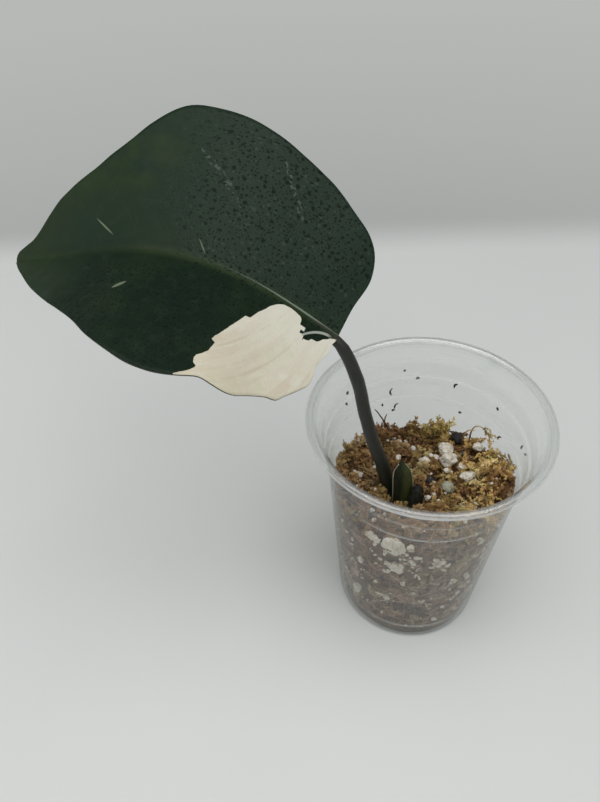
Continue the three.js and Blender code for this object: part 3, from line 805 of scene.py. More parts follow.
def make_stalk():
    beneath = (Vector((0, 0, -1)) + ACROSS * math.sin(math.radians(FOLDED / 2))).normalized()
    points = [Vector(p) for p in STALK]
    for t in (0.02, 0.1, 0.24, 0.4, 0.55, 0.7, 0.85, 0.97):
        sink = along(MIDRIB_RADII, t) * (0.9 if t < 0.05 else 0.95)
        points.append(blade_point(t * MIDRIB.length, 0) + beneath * sink)
    line = Line(points, 16)
    share = 1 - MIDRIB.length / line.length

    def radius(t):
        if t < share:
            return along(STALK_RADII, t / share)
        return along(MIDRIB_RADII, (t - share) / (1 - share))

    bm = bmesh.new()
    tube(bm, line, radius, sides=20, steps=90, wobble=0.05, seed=4)
    face_out(bm)
    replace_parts(finished("leaf_stalk", bm, [stalk_skin()]), "leaf")


make_stalk()

# ---- moss

# Heights of its foot and of its top between the hills, the radius at which it meets the wall, and the height
# over which the wall is taken to be upright where moss leans on it.
MOSS_BOTTOM, MOSS_LEVEL, MOSS_RADIUS, WALL_TOP = 6.2, 74.5, 38, 84
# Hills and dips of its top: x, y, rise and spread.
MOUNDS = [(36, -4, 13, 12), (-30, 4, 3, 9), (0, -33, 7, 13), (2, 36, -5, 12), (14, 12, 1.5, 7)]


def moss_height(x, y):
    z = MOSS_LEVEL
    for mx, my, rise, spread in MOUNDS:
        z += rise * math.exp(-((x - mx) ** 2 + (y - my) ** 2) / (2 * spread**2))
    return z + 1.3 * math.sin(0.52 * x + 1.3) * math.cos(0.47 * y - 0.4) + 0.7 * math.sin(0.93 * x - 0.71 * y)


def moss_edge(a):
    """Height of the moss at the wall, at an angle round the cup."""
    return moss_height(*polar(MOSS_RADIUS, a))


def moss_surface(x, y):
    """The moss as it shows: its height with the clumps of its sprigs."""
    clumps = noise.noise(Vector((x * 0.15, y * 0.15, 4.2))) * 4
    clumps += noise.noise(Vector((x * 0.3, y * 0.3, 9.1))) * 3.4
    clumps -= 5 * math.exp(-((x - 29) ** 2 + (y - 11) ** 2) / 120)
    edge = max(0, math.hypot(x, y) - 34)
    return moss_height(x, y) + min(2.6, max(-5.5, clumps)) * max(0, 1 - edge / 8)


# A dark patch at the front, low down.
DARK_PATCH = Vector((-7.5, -33.5, 27.5))


def moss_fibre(name, stops, root_shade, gain=1.0, gold=(1.54, 1.48, 1.26)):
    """Moss colour. Each sprig has its own tone in its UV map, and how far along it a point lies."""
    recipe(name)
    place = objectwise()
    x, y, z = split(place)
    fine = speckle(place, 620)
    patch = speckle(place, 75, 3)
    if root_shade < 1:
        tone, along_it = split(made("UVMap", uv_map="sprig"))[:2]
    else:
        tone, along_it = speckle(place, 160, 3), 1
    colour = ramp(tone * 0.62 + fine * 0.38 + scaled(patch, 0.7, -0.35), stops)
    # the cup's right side is more golden, its left side more reddish grey
    side = between(x, AXIS.x - 0.01, AXIS.x + 0.03)
    colour = multiplied(colour, blend(side, (0.94, 0.81, 0.79), gold))
    greener = between(speckle(place, 52, 2), 0.42, 0.6)
    colour = multiplied(colour, blend(greener, (1.04, 0.99, 1), (0.93, 1.02, 0.88)))
    front = under(y, AXIS.y - 0.037, AXIS.y - 0.029)
    colour = blend(front * 0.6, colour, (0.34, 0.275, 0.21))
    # painted shade: each sprig darker towards its root, down in the moss
    shade = scaled(between(along_it, 0, 0.7), gain * (1 - root_shade), gain * root_shade)
    # darker at the foot, and round one dark patch at the front
    away = calc_vector("MULTIPLY", calc_vector("SUBTRACT", place, tuple(PLACE @ DARK_PATCH)), (1, 1, 2.3))
    away = calc_vector("LENGTH", away) + scaled(patch, 0.012, -0.006)
    shade = shade * (1 - larger(under(z, 0.009, 0.014) * 0.3, under(away, 0.009, 0.014) * 0.6))
    colour = multiplied(colour, joined(shade, shade, shade))
    rough = ramp(fine, [(0.3, 0.62), (0.7, 0.88)])
    return surface(colour, rough, 0.3, relief(speckle(place, 1500, 3), 0.0004, 0.7))


def make_moss_bed():
    profile = [(0, 0), (0.3, 0), (0.6, 0), (0.86, 0)]
    profile += [(1, -0.065 + 1.045 * k / 52) for k in range(53)]
    profile += [(1 - k / 44, 1) for k in range(45)]
    bm = bmesh.new()
    revolve(bm, profile, 168)
    for v in bm.verts:
        k, a = v.co.xy.length, math.atan2(v.co.y, v.co.x)
        level = MOSS_BOTTOM + (moss_edge(a) - MOSS_BOTTOM) * v.co.z
        lump = noise.fractal(Vector((*polar(9, a), level * 0.24)), 0.8, 2.1, 4)
        sunk = 1.6 + (1.3 * max(0, 0.6 - lump) if level > 8 else 0)
        if level < 6:
            sunk = 0.9
        x, y = polar(k * (inner_radius(min(level, WALL_TOP)) - sunk), a)
        z = level
        if v.co.z > 0.99:
            z = moss_surface(x, y) - 1.6 + 1.1 * noise.fractal(Vector((x * 0.5, y * 0.5, 1.7)), 0.7, 2.1, 4)
            z -= 1.4 if k > 0.93 else 0
        v.co = (x, y, z)
    face_out(bm)
    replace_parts(finished("moss_bed", bm, [MOSS_BED]), "moss")


def sprig(seed, leaves, leaf_long, leaf_wide, stem, cuts=3):
    """A straight sprig of moss along Z from 0 to 1: a slim stalk with small pointed leaves round it.
    Its sizes across are in millimetres."""
    draw = random.Random(seed)
    bm = bmesh.new()
    bmesh.ops.create_cone(bm, cap_ends=True, segments=3, radius1=stem, radius2=stem * 0.45, depth=1,
                          matrix=Matrix.Translation((0, 0, 0.5)))
    for k in range(1, cuts + 1):
        bmesh.ops.bisect_plane(bm, geom=bm.verts[:] + bm.edges[:] + bm.faces[:], plane_co=(0, 0, k / (cuts + 1)),
                               plane_no=(0, 0, 1))
    for k in range(leaves):
        z = 0.06 + 0.92 * (k + draw.random()) / leaves
        turn = k * 2.4 + draw.uniform(-0.5, 0.5)
        long = leaf_long * draw.uniform(0.7, 1.25) * (1 - 0.35 * z)
        lean = draw.uniform(0.5, 1.15)
        lay = (Matrix.Translation((0, 0, z)) @ Matrix.Scale(0.09, 4, (0, 0, 1)) @ Matrix.Rotation(turn, 4, "Z")
               @ Matrix.Rotation(lean, 4, "Y") @ Matrix.Translation((0, 0, long * 0.5))
               @ Matrix.Scale(0.32, 4, (1, 0, 0)))
        bmesh.ops.create_cone(bm, cap_ends=True, segments=3, radius1=leaf_wide, radius2=0, depth=long, matrix=lay)
    face_out(bm)
    bm.loops.layers.uv.new("sprig")
    mesh = bpy.data.meshes.new("sprig")
    bm.to_mesh(mesh)
    bm.free()
    return mesh, [tuple(v.co) for v in mesh.vertices], [mesh.vertices[loop.vertex_index].co.z for loop in mesh.loops]


def lay_sprig(bm, shape, path, width, roll, tone):
    """Adds a copy of a sprig to bm, bent along a path of three points and held inside the cup."""
    mesh, straight, rises = shape
    a, b, c = [Vector(p) for p in path]
    way0 = (c - a).normalized()
    side0 = way0.orthogonal().normalized()
    side0.rotate(Matrix.Rotation(roll, 3, way0))
    flat = []
    for x, y, z in straight:
        t = min(max(z, -0.1), 1.15)
        centre = a * (1 - t) ** 2 + b * 2 * t * (1 - t) + c * t * t
        way = ((b - a) * (1 - t) + (c - b) * t).normalized()
        side = (side0 - way * side0.dot(way)).normalized()
        flat.extend(in_cup(centre + side * (x * width) + way.cross(side) * (y * width)))
    mesh.vertices.foreach_set("co", flat)
    mesh.uv_layers["sprig"].data.foreach_set("uv", [k for rise in rises for k in (tone, rise)])
    bm.from_mesh(mesh)


def in_cup(p, gap=0.75):
    """Holds a point inside the cup's wall."""
    r = p.xy.length
    most = inner_radius(min(max(p.z, 6.2), 113)) + 0.2 - gap
    if r > most:
        p = Vector((p.x * most / r, p.y * most / r, p.z))
    return p


def guides():
    """The arching strands and upright tufts of the part's own moss, as paths."""
    draw = seeded(2027)
    arches, tufts = [], []
    for _ in range(32):
        a = next(draw) * math.pi * 2
        x, y = polar(35 * math.sqrt(next(draw)), a)
        way = next(draw) * math.pi * 2
        length = 5 + 6 * next(draw)
        cx, cy = polar(length, way)
        arch = 1.2 + 1.8 * next(draw)
        sway = 3 * (next(draw) - 0.5)

        def at(k, lift):
            px = x + cx * k - sway * math.sin(way) * (1 - k * k)
            py = y + cy * k + sway * math.cos(way) * (1 - k * k)
            inside = min(1, 36 / math.hypot(px, py))
            return Vector((px * inside, py * inside, moss_height(px * inside, py * inside) + lift))

        arches.append((at(-1, -0.8), at(0, arch * 2), at(1, -0.8)))
        next(draw)
    for _ in range(18):
        a = next(draw) * math.pi * 2
        x, y = polar(20 + 14 * next(draw), a)
        z = moss_height(x, y)
        tall = 4 + 5 * next(draw)
        lean = (5 * (next(draw) - 0.5) - x * 0.06, 5 * (next(draw) - 0.5) - y * 0.06)
        tufts.append((Vector((x, y, z - 1)), Vector((x + lean[0] * 0.5, y + lean[1] * 0.5, z + tall * 0.6)),
                      Vector((x + lean[0] * 1.5, y + lean[1] * 1.2, z + tall))))
        next(draw)
    return arches, tufts


# Grains on top: x, y, height over the moss and three half sizes.
TOP_GRAINS = [
    (13.3, 14.9, 2, 3.1, 3, 3), (14.4, 8, 1.8, 3.3, 2.9, 2.8), (19.4, -2.6, 1.6, 3, 2.3, 2.1),
    (11.1, -4.7, 1.2, 2.8, 2.9, 2.5), (16.3, 3.9, 1.2, 1.9, 1.7, 1.6), (3.8, 11.2, 1, 2, 2, 1.9),
    (27.9, 16.3, 1.2, 2.4, 2, 2.1), (-6.3, 25.2, 1, 1.8, 1.6, 1.7), (0.4, 22.4, 0.9, 1.6, 1.5, 1.5),
    (-24.9, 24.9, 0.9, 1.7, 1.6, 1.6), (-17.8, 9.7, 0.9, 1.6, 1.5, 1.5), (-26.2, 3.2, 1, 2, 1.6, 1.5),
    (1.1, -11, 1, 1.8, 1.5, 1.6)]
# Grains against the wall: angle round the cup in degrees, height, half width and half height.
WALL_GRAINS = [
    (-115, 77, 5.2, 4.9), (-112, 61.5, 4, 4.4), (-128, 76, 2.8, 3), (-85, 69, 2.6, 2.4), (-104, 79, 1.8, 2.2),
    (-145, 22, 2.6, 2.4), (-57, 75, 2, 1.8), (-56, 46, 1.8, 2), (-116, 32, 2.6, 2), (-140, 52, 2.2, 2.4),
    (-20, 58, 2.8, 3.2), (28, 34, 3.4, 2.8), (64, 60, 3, 3.4), (102, 26, 3.6, 3), (138, 50, 3.2, 3.6),
    (176, 66, 2.6, 2.4)]
GRAIN_DEPTH = 3.2
# Wall grains that are broken into bits, counted from nought.
BROKEN = (1, 2, 3, 4, 6, 7, 8, 9, 11, 13)
# Bark: x, y, half length and turn in degrees.
BARK_BITS = [(20.9, 25.4, 3.0, 140), (4.5, 0.8, 3.4, -40)]
# Places kept free of loose sprigs, as x, y and radius: the stalk, the sheath, the stump, the grains and the bark.
KEEP_FREE = [(-14.5, -1.8, 2.7), (-9.8, -8.4, 4.4), (-4.2, -13.0, 2.8)]
KEEP_FREE += [(g[0], g[1], g[3] * 0.7) for g in TOP_GRAINS] + [(b[0], b[1], 2.0) for b in BARK_BITS]


def anywhere(draw, most):
    """A seeded place on the moss, at most that far from the cup's axis."""
    a = draw.uniform(0, 2 * math.pi)
    return polar(most * math.sqrt(draw.random()), a)


def scatter(draw, *sizes):
    """A seeded shift, with nothing drawn where its size is nought."""
    return Vector([draw.gauss(0, size) if size else 0 for size in sizes])


def on_moss(x, y, over=0):
    return Vector((x, y, moss_surface(x, y) + over))


def clear_of_pieces(*points):
    return all((p[0] - x) ** 2 + (p[1] - y) ** 2 > r * r for p in points for x, y, r in KEEP_FREE)


# Tufts that stand up against the wall behind: x, y, height, spread, number of sprigs and tone.
TALL_TUFTS = [
    (-13.6, 33.2, 7, 1.7, 14, 0.42), (-9.8, 34, 9, 1.4, 10, 0.34), (-2, 34, 6, 2.4, 20, 0.44),
    (1, 33.4, 12, 1.3, 22, 0.4), (9.4, 30.8, 9, 1.7, 24, 0.52), (12.2, 29.4, 12, 1.9, 44, 0.6),
    (15.6, 28, 5, 1.8, 16, 0.56), (-24, 25, 6, 2, 18, 0.66), (-29, 20, 6, 2, 18, 0.8),
    (-32.4, 14, 5, 1.8, 14, 0.74), (31.6, 2, 3, 2, 12, 0.6), (33.5, -4, 3, 2, 12, 0.66),
    (26.5, 22.5, 5, 1.6, 10, 0.6)]
# Long curled fibres over the moss: three points of x, y and height over it each, and tone.
# Those under this tone are bare threads, the others have leaves.
DARK_TONE = 0.45
LOOPS = [
    ((25.9, 22.9, -1), (25, 24.5, 13), (30, 20.5, 9), 0.4), ((30, 20.5, 9), (34.5, 17.5, 5), (32.5, 15, -1), 0.46),
    ((28, 20, 0), (33, 19.5, 10), (33, 13, 1), 0.5), ((22.5, 21, 0), (22, 25, 8), (27, 22.5, 8), 0.3),
    ((-9.5, 34.5, 2), (-12.5, 34.8, 8), (-17, 33.2, 14), 0.16),
    ((-11.5, 34, 3), (-12.5, 34, 8), (-11, 34.6, 12), 0.36), ((-31, -8, 0), (-33, -2, 8), (-31, 8, 0), 0.3),
    ((10, -27, 0), (18, -25, 5), (26, -16, 0), 0.2), ((-27, 12, 1), (-31, 6, 6), (-27, -4, 0), 0.15),
    ((4, -22, 0), (13, -24, 4), (22, -20, 1), 0.62), ((31, 20, 5), (34, 20, 9), (36, 17, 4), 0.9),
    ((32, 19, 7), (35, 18, 8), (36.5, 15, 7), 0.94), ((30, 21, 8), (33, 21, 11), (35.5, 19, 8), 0.86),
    ((28, 7, 0), (29.5, 6.4, 4), (31, 5, 5), 0.5), ((31, 3, 0), (32, 4.5, 4), (32.5, 7, 5), 0.88),
    ((24.5, 21, 1), (27, 22, 6), (31, 18, 4), 0.55), ((-10, 34.4, 1), (-12, 34.6, 7), (-16, 33.4, 13), 0.2),
    ((-9, 34.5, 0), (-11.5, 34.8, 6), (-14.5, 33.9, 10), 0.24)]


def make_moss_top():
    draw = random.Random(11)
    shapes = [sprig(40 + k, 10, 2.4, 0.9, 0.36) for k in range(5)]
    thread = sprig(60, 0, 1, 1, 0.40, cuts=9)
    leafy = sprig(61, 7, 2.4, 1.0, 0.34, cuts=7)
    bm = bmesh.new()

    def lay(path, tone, width=None):
        lay_sprig(bm, draw.choice(shapes), path, width or draw.uniform(0.7, 1.15), draw.uniform(0, 6.3),
                  min(0.98, max(0.02, tone + draw.gauss(0, 0.07))))

    arches, tufts = guides()
    for path in arches:
        tone = draw.uniform(0.1, 0.8)
        for _ in range(5):
            off = scatter(draw, 0.9, 0.9, 0.3)
            bent = [p + off + scatter(draw, 0.6, 0.6, 0.3) for p in path]
            if clear_of_pieces(*bent):
                lay(bent, tone)
    for a, b, c in tufts:
        tone = draw.uniform(0.3, 0.9)
        for _ in range(9):
            spread = scatter(draw, 1.5, 1.5, 0)
            part = draw.uniform(0.45, 1.0)
            bent = [a + spread * 0.5, a.lerp(b, part) + spread * 0.8, a.lerp(c, part) + spread * 1.3]
            if clear_of_pieces(*bent):
                lay(bent, tone)
    for x, y, tall, spread, count, tone in TALL_TUFTS:
        foot = Vector((x, y, moss_height(x, y) - 1))
        for _ in range(count):
            off = scatter(draw, spread, spread * 0.7, 0)
            rise = tall * draw.uniform(0.3, 1.0)
            bent = [foot + off * 0.35, foot + off * 0.8 + Vector((0, 0, rise * 0.6)),
                    foot + off * draw.uniform(1.1, 2.0) + Vector((0, 0, rise))]
            lay(bent, tone, draw.uniform(0.85, 1.25))
    for *path, tone in LOOPS:
        points = [Vector((x, y, moss_height(x, y) + z)) for x, y, z in path]
        shape, width = (thread, 1.3) if tone < DARK_TONE else (leafy, 1)
        lay_sprig(bm, shape, points, width, 0, tone)
    # heads of short sprigs that spread from one place, on the higher spots
    heads = 0
    while heads < 135:
        x, y = anywhere(draw, 37)
        over = moss_surface(x, y) - moss_height(x, y)
        if over < draw.uniform(-2.5, 1.0):
            continue
        heads += 1
        tone = draw.uniform(0.25, 0.75) + 0.06 * over
        reach = draw.uniform(2.0, 4.2)
        for _ in range(7):
            way, long = draw.uniform(0, 2 * math.pi), reach * draw.uniform(0.6, 1.2)
            ex, ey = x + math.cos(way) * long, y + math.sin(way) * long
            p = on_moss(x, y, -1)
            q = Vector(((x + ex) / 2, (y + ey) / 2, moss_surface(x, y) + draw.uniform(1.0, 2.8)))
            e = on_moss(ex, ey, draw.uniform(0.2, 2.2))
            if clear_of_pieces(p, q, e):
                lay((p, q, e), tone)
    # loose strands
    for _ in range(620):
        x, y = anywhere(draw, 37.5)
        way, long = draw.uniform(0, 2 * math.pi), draw.uniform(2.5, 9.0)
        dx, dy = math.cos(way) * long / 2, math.sin(way) * long / 2
        p = on_moss(x - dx, y - dy, -draw.uniform(0.6, 1.8))
        q = Vector((x + draw.gauss(0, 1), y + draw.gauss(0, 1), moss_surface(x, y) + draw.uniform(-0.4, 1.2)))
        e = on_moss(x + dx, y + dy, draw.uniform(-1.4, 0.8))
        if clear_of_pieces(p, q, e):
            lay((p, q, e), draw.uniform(0.05, 0.7))
    finished("moss_top", bm, [MOSS_TOP], smooth=False)


def make_moss_side():
    """Sprigs pressed against the inside of the wall."""
    draw = random.Random(23)
    shapes = [sprig(80 + k, 8, 2.8, 1.1, 0.5) for k in range(4)]
    bm = bmesh.new()
    for _ in range(420):
        a, t = draw.uniform(0, 2 * math.pi), draw.random() ** 0.9
        edge = moss_edge(a)
        z = 6.5 + (edge - 7.5) * t
        tone = draw.uniform(0.1, 0.9)
        for _ in range(3):
            spin, lift = a + draw.gauss(0, 0.05), z + draw.gauss(0, 1.6)
            r = inner_radius(min(max(lift, 6), WALL_TOP)) - draw.uniform(0.5, 1.5)
            long = draw.uniform(3, 10)
            way = draw.gauss(0, 0.8) + (math.pi if draw.random() < 0.5 else 0)
            da, dz = math.cos(way) * long / 2 / r, math.sin(way) * long / 2
            path = []
            for k, out in ((-1, -0.3), (0, 0.3), (1, -0.3)):
                angle = spin + da * k + (draw.gauss(0, 0.05) if k == 0 else 0)
                level = min(max(lift + dz * k + (draw.gauss(0, 1.6) if k == 0 else 0), 6.6), edge + 0.5)
                path.append((*polar(r + out, angle), level))
            lay_sprig(bm, draw.choice(shapes), path, draw.uniform(0.7, 1.2), draw.uniform(0, 6.3),
                      min(0.98, max(0.02, tone + draw.gauss(0, 0.08))))
    finished("moss_side", bm, [MOSS_SIDE], smooth=False)


MOSS_BED = moss_fibre("moss_bed", [
    (0.3, (0.022, 0.012, 0.006)), (0.42, (0.06, 0.032, 0.013)), (0.55, (0.12, 0.072, 0.032)),
    (0.7, (0.22, 0.15, 0.075))], 1, 1, (1.5, 1.3, 1.05))
MOSS_TOP = moss_fibre("moss_sprigs", [
    (0.14, (0.065, 0.033, 0.016)), (0.3, (0.17, 0.098, 0.045)), (0.44, (0.31, 0.2, 0.085)),
    (0.56, (0.42, 0.305, 0.13)), (0.68, (0.45, 0.375, 0.18)), (0.8, (0.58, 0.49, 0.3)),
    (0.94, (0.66, 0.57, 0.44))], 0.42)
MOSS_SIDE = moss_fibre("moss_pressed", [
    (0.14, (0.075, 0.05, 0.034)), (0.32, (0.18, 0.125, 0.08)), (0.48, (0.29, 0.212, 0.145)),
    (0.62, (0.36, 0.3, 0.215)), (0.76, (0.47, 0.4, 0.3)), (0.92, (0.6, 0.53, 0.43))], 0.62, 1.2, (1.1, 1, 0.84))
make_moss_bed()
make_moss_top()
make_moss_side()

# ---- perlite


def perlite_stone(name="perlite_stone", tint=None):
    recipe(name)
    place = objectwise()
    pores = made("TexVoronoi", {"Vector": place, "Scale": 1400}, "Distance")
    # brown stains that are also painted shade: darkest where the relief dips
    stain_and_shade = speckle(place, 330, 5, 0.68)
    colour = ramp(stain_and_shade, [(0.28, (0.44, 0.35, 0.23)), (0.4, (0.72, 0.64, 0.52)), (0.55, (0.87, 0.82, 0.72)),
                          (0.8, (0.92, 0.895, 0.83))])
    # painted shade: darker in the pores
    colour = blend(between(pores, 0.45, 0.8) * 0.35, colour, (0.4, 0.35, 0.29))
    if tint:
        colour = blend(0.8, colour, tint, "MULTIPLY")
    return surface(colour, 0.9, 0.25, relief(pores * -1 + stain_and_shade, 0.0006, 0.8))


PERLITE = perlite_stone()
# a grain tinted grey-green, for moss on it and for painted shade
MOSSY_SHADED_PERLITE = perlite_stone("mossy_shaded_perlite_stone", (0.4, 0.44, 0.36))


def puffed(bm, seed, size, detail, place):
    """A puffed grain: a ball with seeded dents, pulled to its half sizes. place says where its points go."""
    draws = seeded(seed)
    phases = [next(draws) * math.pi * 2 for _ in range(4)]
    for v in bmesh.ops.create_icosphere(bm, subdivisions=detail, radius=1)["verts"]:
        p = v.co.copy()
        dents = (math.sin(3.1 * p.x + phases[0]) * math.sin(2.7 * p.y + phases[1])
                 + math.sin(3.7 * p.z + phases[2]) * math.sin(2.3 * p.x + phases[3]))
        reach = 1 + 0.13 * dents
        if detail > 2:
            hollow = 0.22 * abs(noise.noise(p * 3.4 + Vector((0, seed, 0))))
            reach += 0.24 * noise.noise(p * 1.7 + Vector((seed, 0, 0))) - hollow
            reach -= 0.1 * abs(noise.noise(p * 8.5 + Vector((0, 0, seed))))
        elif detail == 2:
            reach += 0.30 * noise.noise(p * 2.3 + Vector((seed, 0, 0)))
        v.co = place(Vector((p.x * size[0], p.y * size[1], p.z * size[2])) * reach)


def against_wall(a, z, depth):
    """Sets a grain against the wall at an angle and height, with its outer side flat on it."""
    r = inner_radius(z) - 0.3 - 0.35 * depth
    turn = Matrix.Rotation(a, 3, "Z")

    def place(p):
        dent = 0.3 + 0.5 * noise.noise(p * 0.9 + Vector((z, a, 0)))
        dent += 0.35 * noise.noise(p * 2.1 + Vector((a, z, 3)))
        return in_cup(turn @ p + Vector((*polar(r, a), z)), 0.5 + max(0, min(dent, 0.5 * depth)))

    return place


# Small moves that seat some grains on top among the finished moss, and how much some grow or shrink.
NUDGES = {1: (-0.3, -1, 0.5), 2: (-0.9, 1, 0.6), 5: (2.2, 1, 0.3), 13: (0, 0, 0.2)}
GROWN = {1: 1.16, 2: 1.18, 13: 0.75}
MOSSY_SHADED_GRAIN = 4


def make_perlite():
    for k, (x, y, over, *size) in enumerate(TOP_GRAINS):
        bm = bmesh.new()
        centre = Vector((x, y, moss_height(x, y) + over)) + Vector(NUDGES.get(k + 1, (0, 0, 0)))
        scale = GROWN.get(k + 1, 1)
        puffed(bm, 101 + k, [side * scale for side in size], 4, lambda p: p + centre)
        stone = MOSSY_SHADED_PERLITE if k + 1 == MOSSY_SHADED_GRAIN else PERLITE
        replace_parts(finished(f"grain_top_{k + 1}", bm, [stone]), f"perlite_top_{k + 1}")
    draw = random.Random(77)
    for k, (degrees, z, wide, tall) in enumerate(WALL_GRAINS):
        bm = bmesh.new()
        broken = k in BROKEN
        share, stretch = (0.55, 1) if broken else (0.88, 1.22)
        tall *= stretch
        puffed(bm, 301 + k, (GRAIN_DEPTH * share, wide * share, tall * share), 4,
               against_wall(math.radians(degrees), z, GRAIN_DEPTH))
        # lumps round it make its outline
        for n in range(9 if broken else 11):
            turn = draw.uniform(0, 2 * math.pi)
            reach = draw.uniform(0.45, 0.8) if broken else draw.uniform(0.6, 0.72)
            size = draw.uniform(0.16, 0.34) if broken else draw.uniform(0.28, 0.42)
            spot = math.radians(degrees) + wide * reach * math.cos(turn) / MOSS_RADIUS
            lump = min(wide, tall) * size
            puffed(bm, 340 + 12 * k + n, (GRAIN_DEPTH * 0.5, lump, lump * draw.uniform(0.8, 1.1)), 3,
                   against_wall(spot, z + tall * reach * math.sin(turn), GRAIN_DEPTH * 0.6))
        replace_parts(finished(f"grain_wall_{k + 1}", bm, [PERLITE]), f"perlite_wall_{k + 1}")


# Small bright crumbs that show on top: x, y and half size.
BRIGHT_CRUMBS = [
    (14.8, 33, 1.6), (-6.3, 23.9, 1.6), (-7.9, 14.6, 1.7), (2.4, 12.8, 1.2), (0.6, 29.5, 0.9), (-1.9, 28.5, 1.1),
    (-24.7, 24.2, 1.3), (-28.1, 5, 1.3), (-18.9, 7.7, 1), (-17.6, 2.3, 1.1), (5, 34, 1), (13.5, 3.4, 1.2),
    (14.4, -11.2, 1.1), (22.4, 16.8, 1.3), (3.6, 10.3, 1.5), (11.2, 1.8, 1.2), (9, 12.6, 1.6), (6.8, 13.8, 1.2)]

# Clusters of crumbs against the wall: angle in degrees, height, spread and number.
CRUMB_CLUSTERS = ((-112, 62, 3.2, 16), (-130, 75, 2.4, 12), (-84, 68, 2.6, 12), (-106, 72, 2, 6))


def make_crumbs():
    """Small grains between the sprigs, on top and against the wall."""
    draw = random.Random(5)
    bm = bmesh.new()
    for k in range(110):
        x, y = anywhere(draw, 36)
        size = draw.uniform(0.4, 1.1)
        if clear_of_pieces((x, y)):
            centre = in_cup(on_moss(x, y, draw.uniform(0, 1.3)), 1.2)
            puffed(bm, 500 + k, (size, size * draw.uniform(0.7, 1), size * 0.85), 2, lambda p: p + centre)
    for k, (x, y, size) in enumerate(BRIGHT_CRUMBS):
        centre = in_cup(on_moss(x, y, 1.2), 1.6)
        puffed(bm, 620 + k, (size, size * 0.9, size * 0.8), 3, lambda p: p + centre)
    for k in range(210):
        a = draw.uniform(-math.pi, math.pi)
        z = 9 + (moss_edge(a) - 12) * draw.random()
        size = draw.choice((0.5, 0.6, 0.6, 0.8, 0.9, 1.2))
        for _ in range(draw.choice((1, 2, 3, 5))):
            spin, lift = a + draw.gauss(0, 0.024), z + draw.gauss(0, 0.9)
            sizes = (size, size * draw.uniform(0.6, 1.2), size * draw.uniform(0.6, 1))
            puffed(bm, 700 + k, sizes, 2 if size > 0.7 else 1, against_wall(spin, max(8, lift), size))
            size *= 0.84
    for degrees, z, spread, count in CRUMB_CLUSTERS:
        for k in range(count):
            spin = math.radians(degrees) + draw.gauss(0, spread / MOSS_RADIUS)
            size = draw.uniform(0.5, 1.3)
            puffed(bm, 900 + k, (size, size * draw.uniform(0.7, 1.2), size * 0.8), 2,
                   against_wall(spin, z + draw.gauss(0, spread), size))
    finished("perlite_crumbs", bm, [PERLITE])


make_perlite()
make_crumbs()

# ---- bark


def charred():
    recipe("charred_bark")
    grain = stretched(objectwise(), (1, 0.3, 1))
    colour = ramp(speckle(grain, 700), [(0.35, (0.008, 0.007, 0.008)), (0.6, (0.024, 0.02, 0.021)),
                                        (0.75, (0.075, 0.065, 0.066))])
    return surface(colour, 0.7, 0.5, relief(speckle(grain, 900), 0.0006, 0.9))


BARK = charred()


def make_bark():
    for k, (x, y, half, degrees) in enumerate(BARK_BITS):
        a = math.radians(degrees)
        z = moss_height(x, y) + 0.3
        dx, dy = polar(half, a)
        line = Line([(x - dx, y - dy, z - 0.9), (x + 0.3, y - 0.2, z + 0.4), (x + dx, y + dy, z + 0.2)])
        bm = bmesh.new()
        tube(bm, line, [1.2, 2.1, 1.9, 1.0], sides=16, steps=18, squash=0.7, wobble=0.6, seed=k * 7)
        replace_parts(finished(f"bark_bit_{k + 1}", bm, [BARK]), f"bark_{k + 1}")


make_bark()

# ---- stem, roots and sheath

STEM = [(-15.5, 3.0, 47), (-14.4, 0.6, 54), (-12.2, -4.0, 60), (-8.0, -9.6, 64), (-3.6, -13.4, 71)]
STEM_RADII = [4.6, 5.2, 5.6, 4.8, 3.4]
STUMP = [(-4.4, -13.2, 70), (-4.2, -13.0, 79), (-3.8, -12.2, 87.0)]
STUMP_RADII = [3.2, 3, 2.8, 2.1]
# Height over which the stump is broken off unevenly.
BREAK = 82
ROOTS = [
    [(-14, 0, 53), (-4, 8, 45), (8, 14, 38), (14, 18, 24)],
    [(-15, 1, 51), (-20, -6, 42), (-18, -14, 31), (-9, -18, 19)],
    [(-12, -4, 58), (0, -6, 48), (12, -12, 40), (17, -14, 27)],
    [(-15, 2, 50), (-19, 11, 41), (-12, 20, 31), (-3, 22, 18)]]
ROOT_RADII = [1.5, 1.2, 0.9]
# The sheath's width and depth are half sizes, reached at its widest. SWELL is its share of them from foot to tip.
SHEATH_FOOT, SHEATH_TIP = Vector((-9.2, -8.6, 62)), Vector((-10.4, -7.2, 97.5))
SHEATH_WIDTH, SHEATH_DEPTH = 4.6, 3.1
SWELL = [0.72, 0.76, 0.8, 0.84, 0.87, 0.89, 0.9, 0.9, 0.88, 0.74, 0.24]
# Its two margins: angle round it in degrees at the foot, and how far they turn on the way up.
MARGINS = ((182, 12), (352, -14))


def woody():
    recipe("stem_bark")
    place = objectwise()
    grain = speckle(stretched(place, (1, 1, 0.25)), 600, 5)
    colour = ramp(grain, [(0.3, (0.004, 0.005, 0.003)), (0.5, (0.01, 0.011, 0.007)), (0.72, (0.034, 0.032, 0.02))])
    pale = ramp(grain, [(0.3, (0.3, 0.22, 0.12)), (0.7, (0.5, 0.41, 0.27))])
    colour = blend(under(split(place)[2], 0.043, 0.05), colour, pale)
    return surface(colour, 0.7, 0.25, relief(grain, 0.0009, 1))


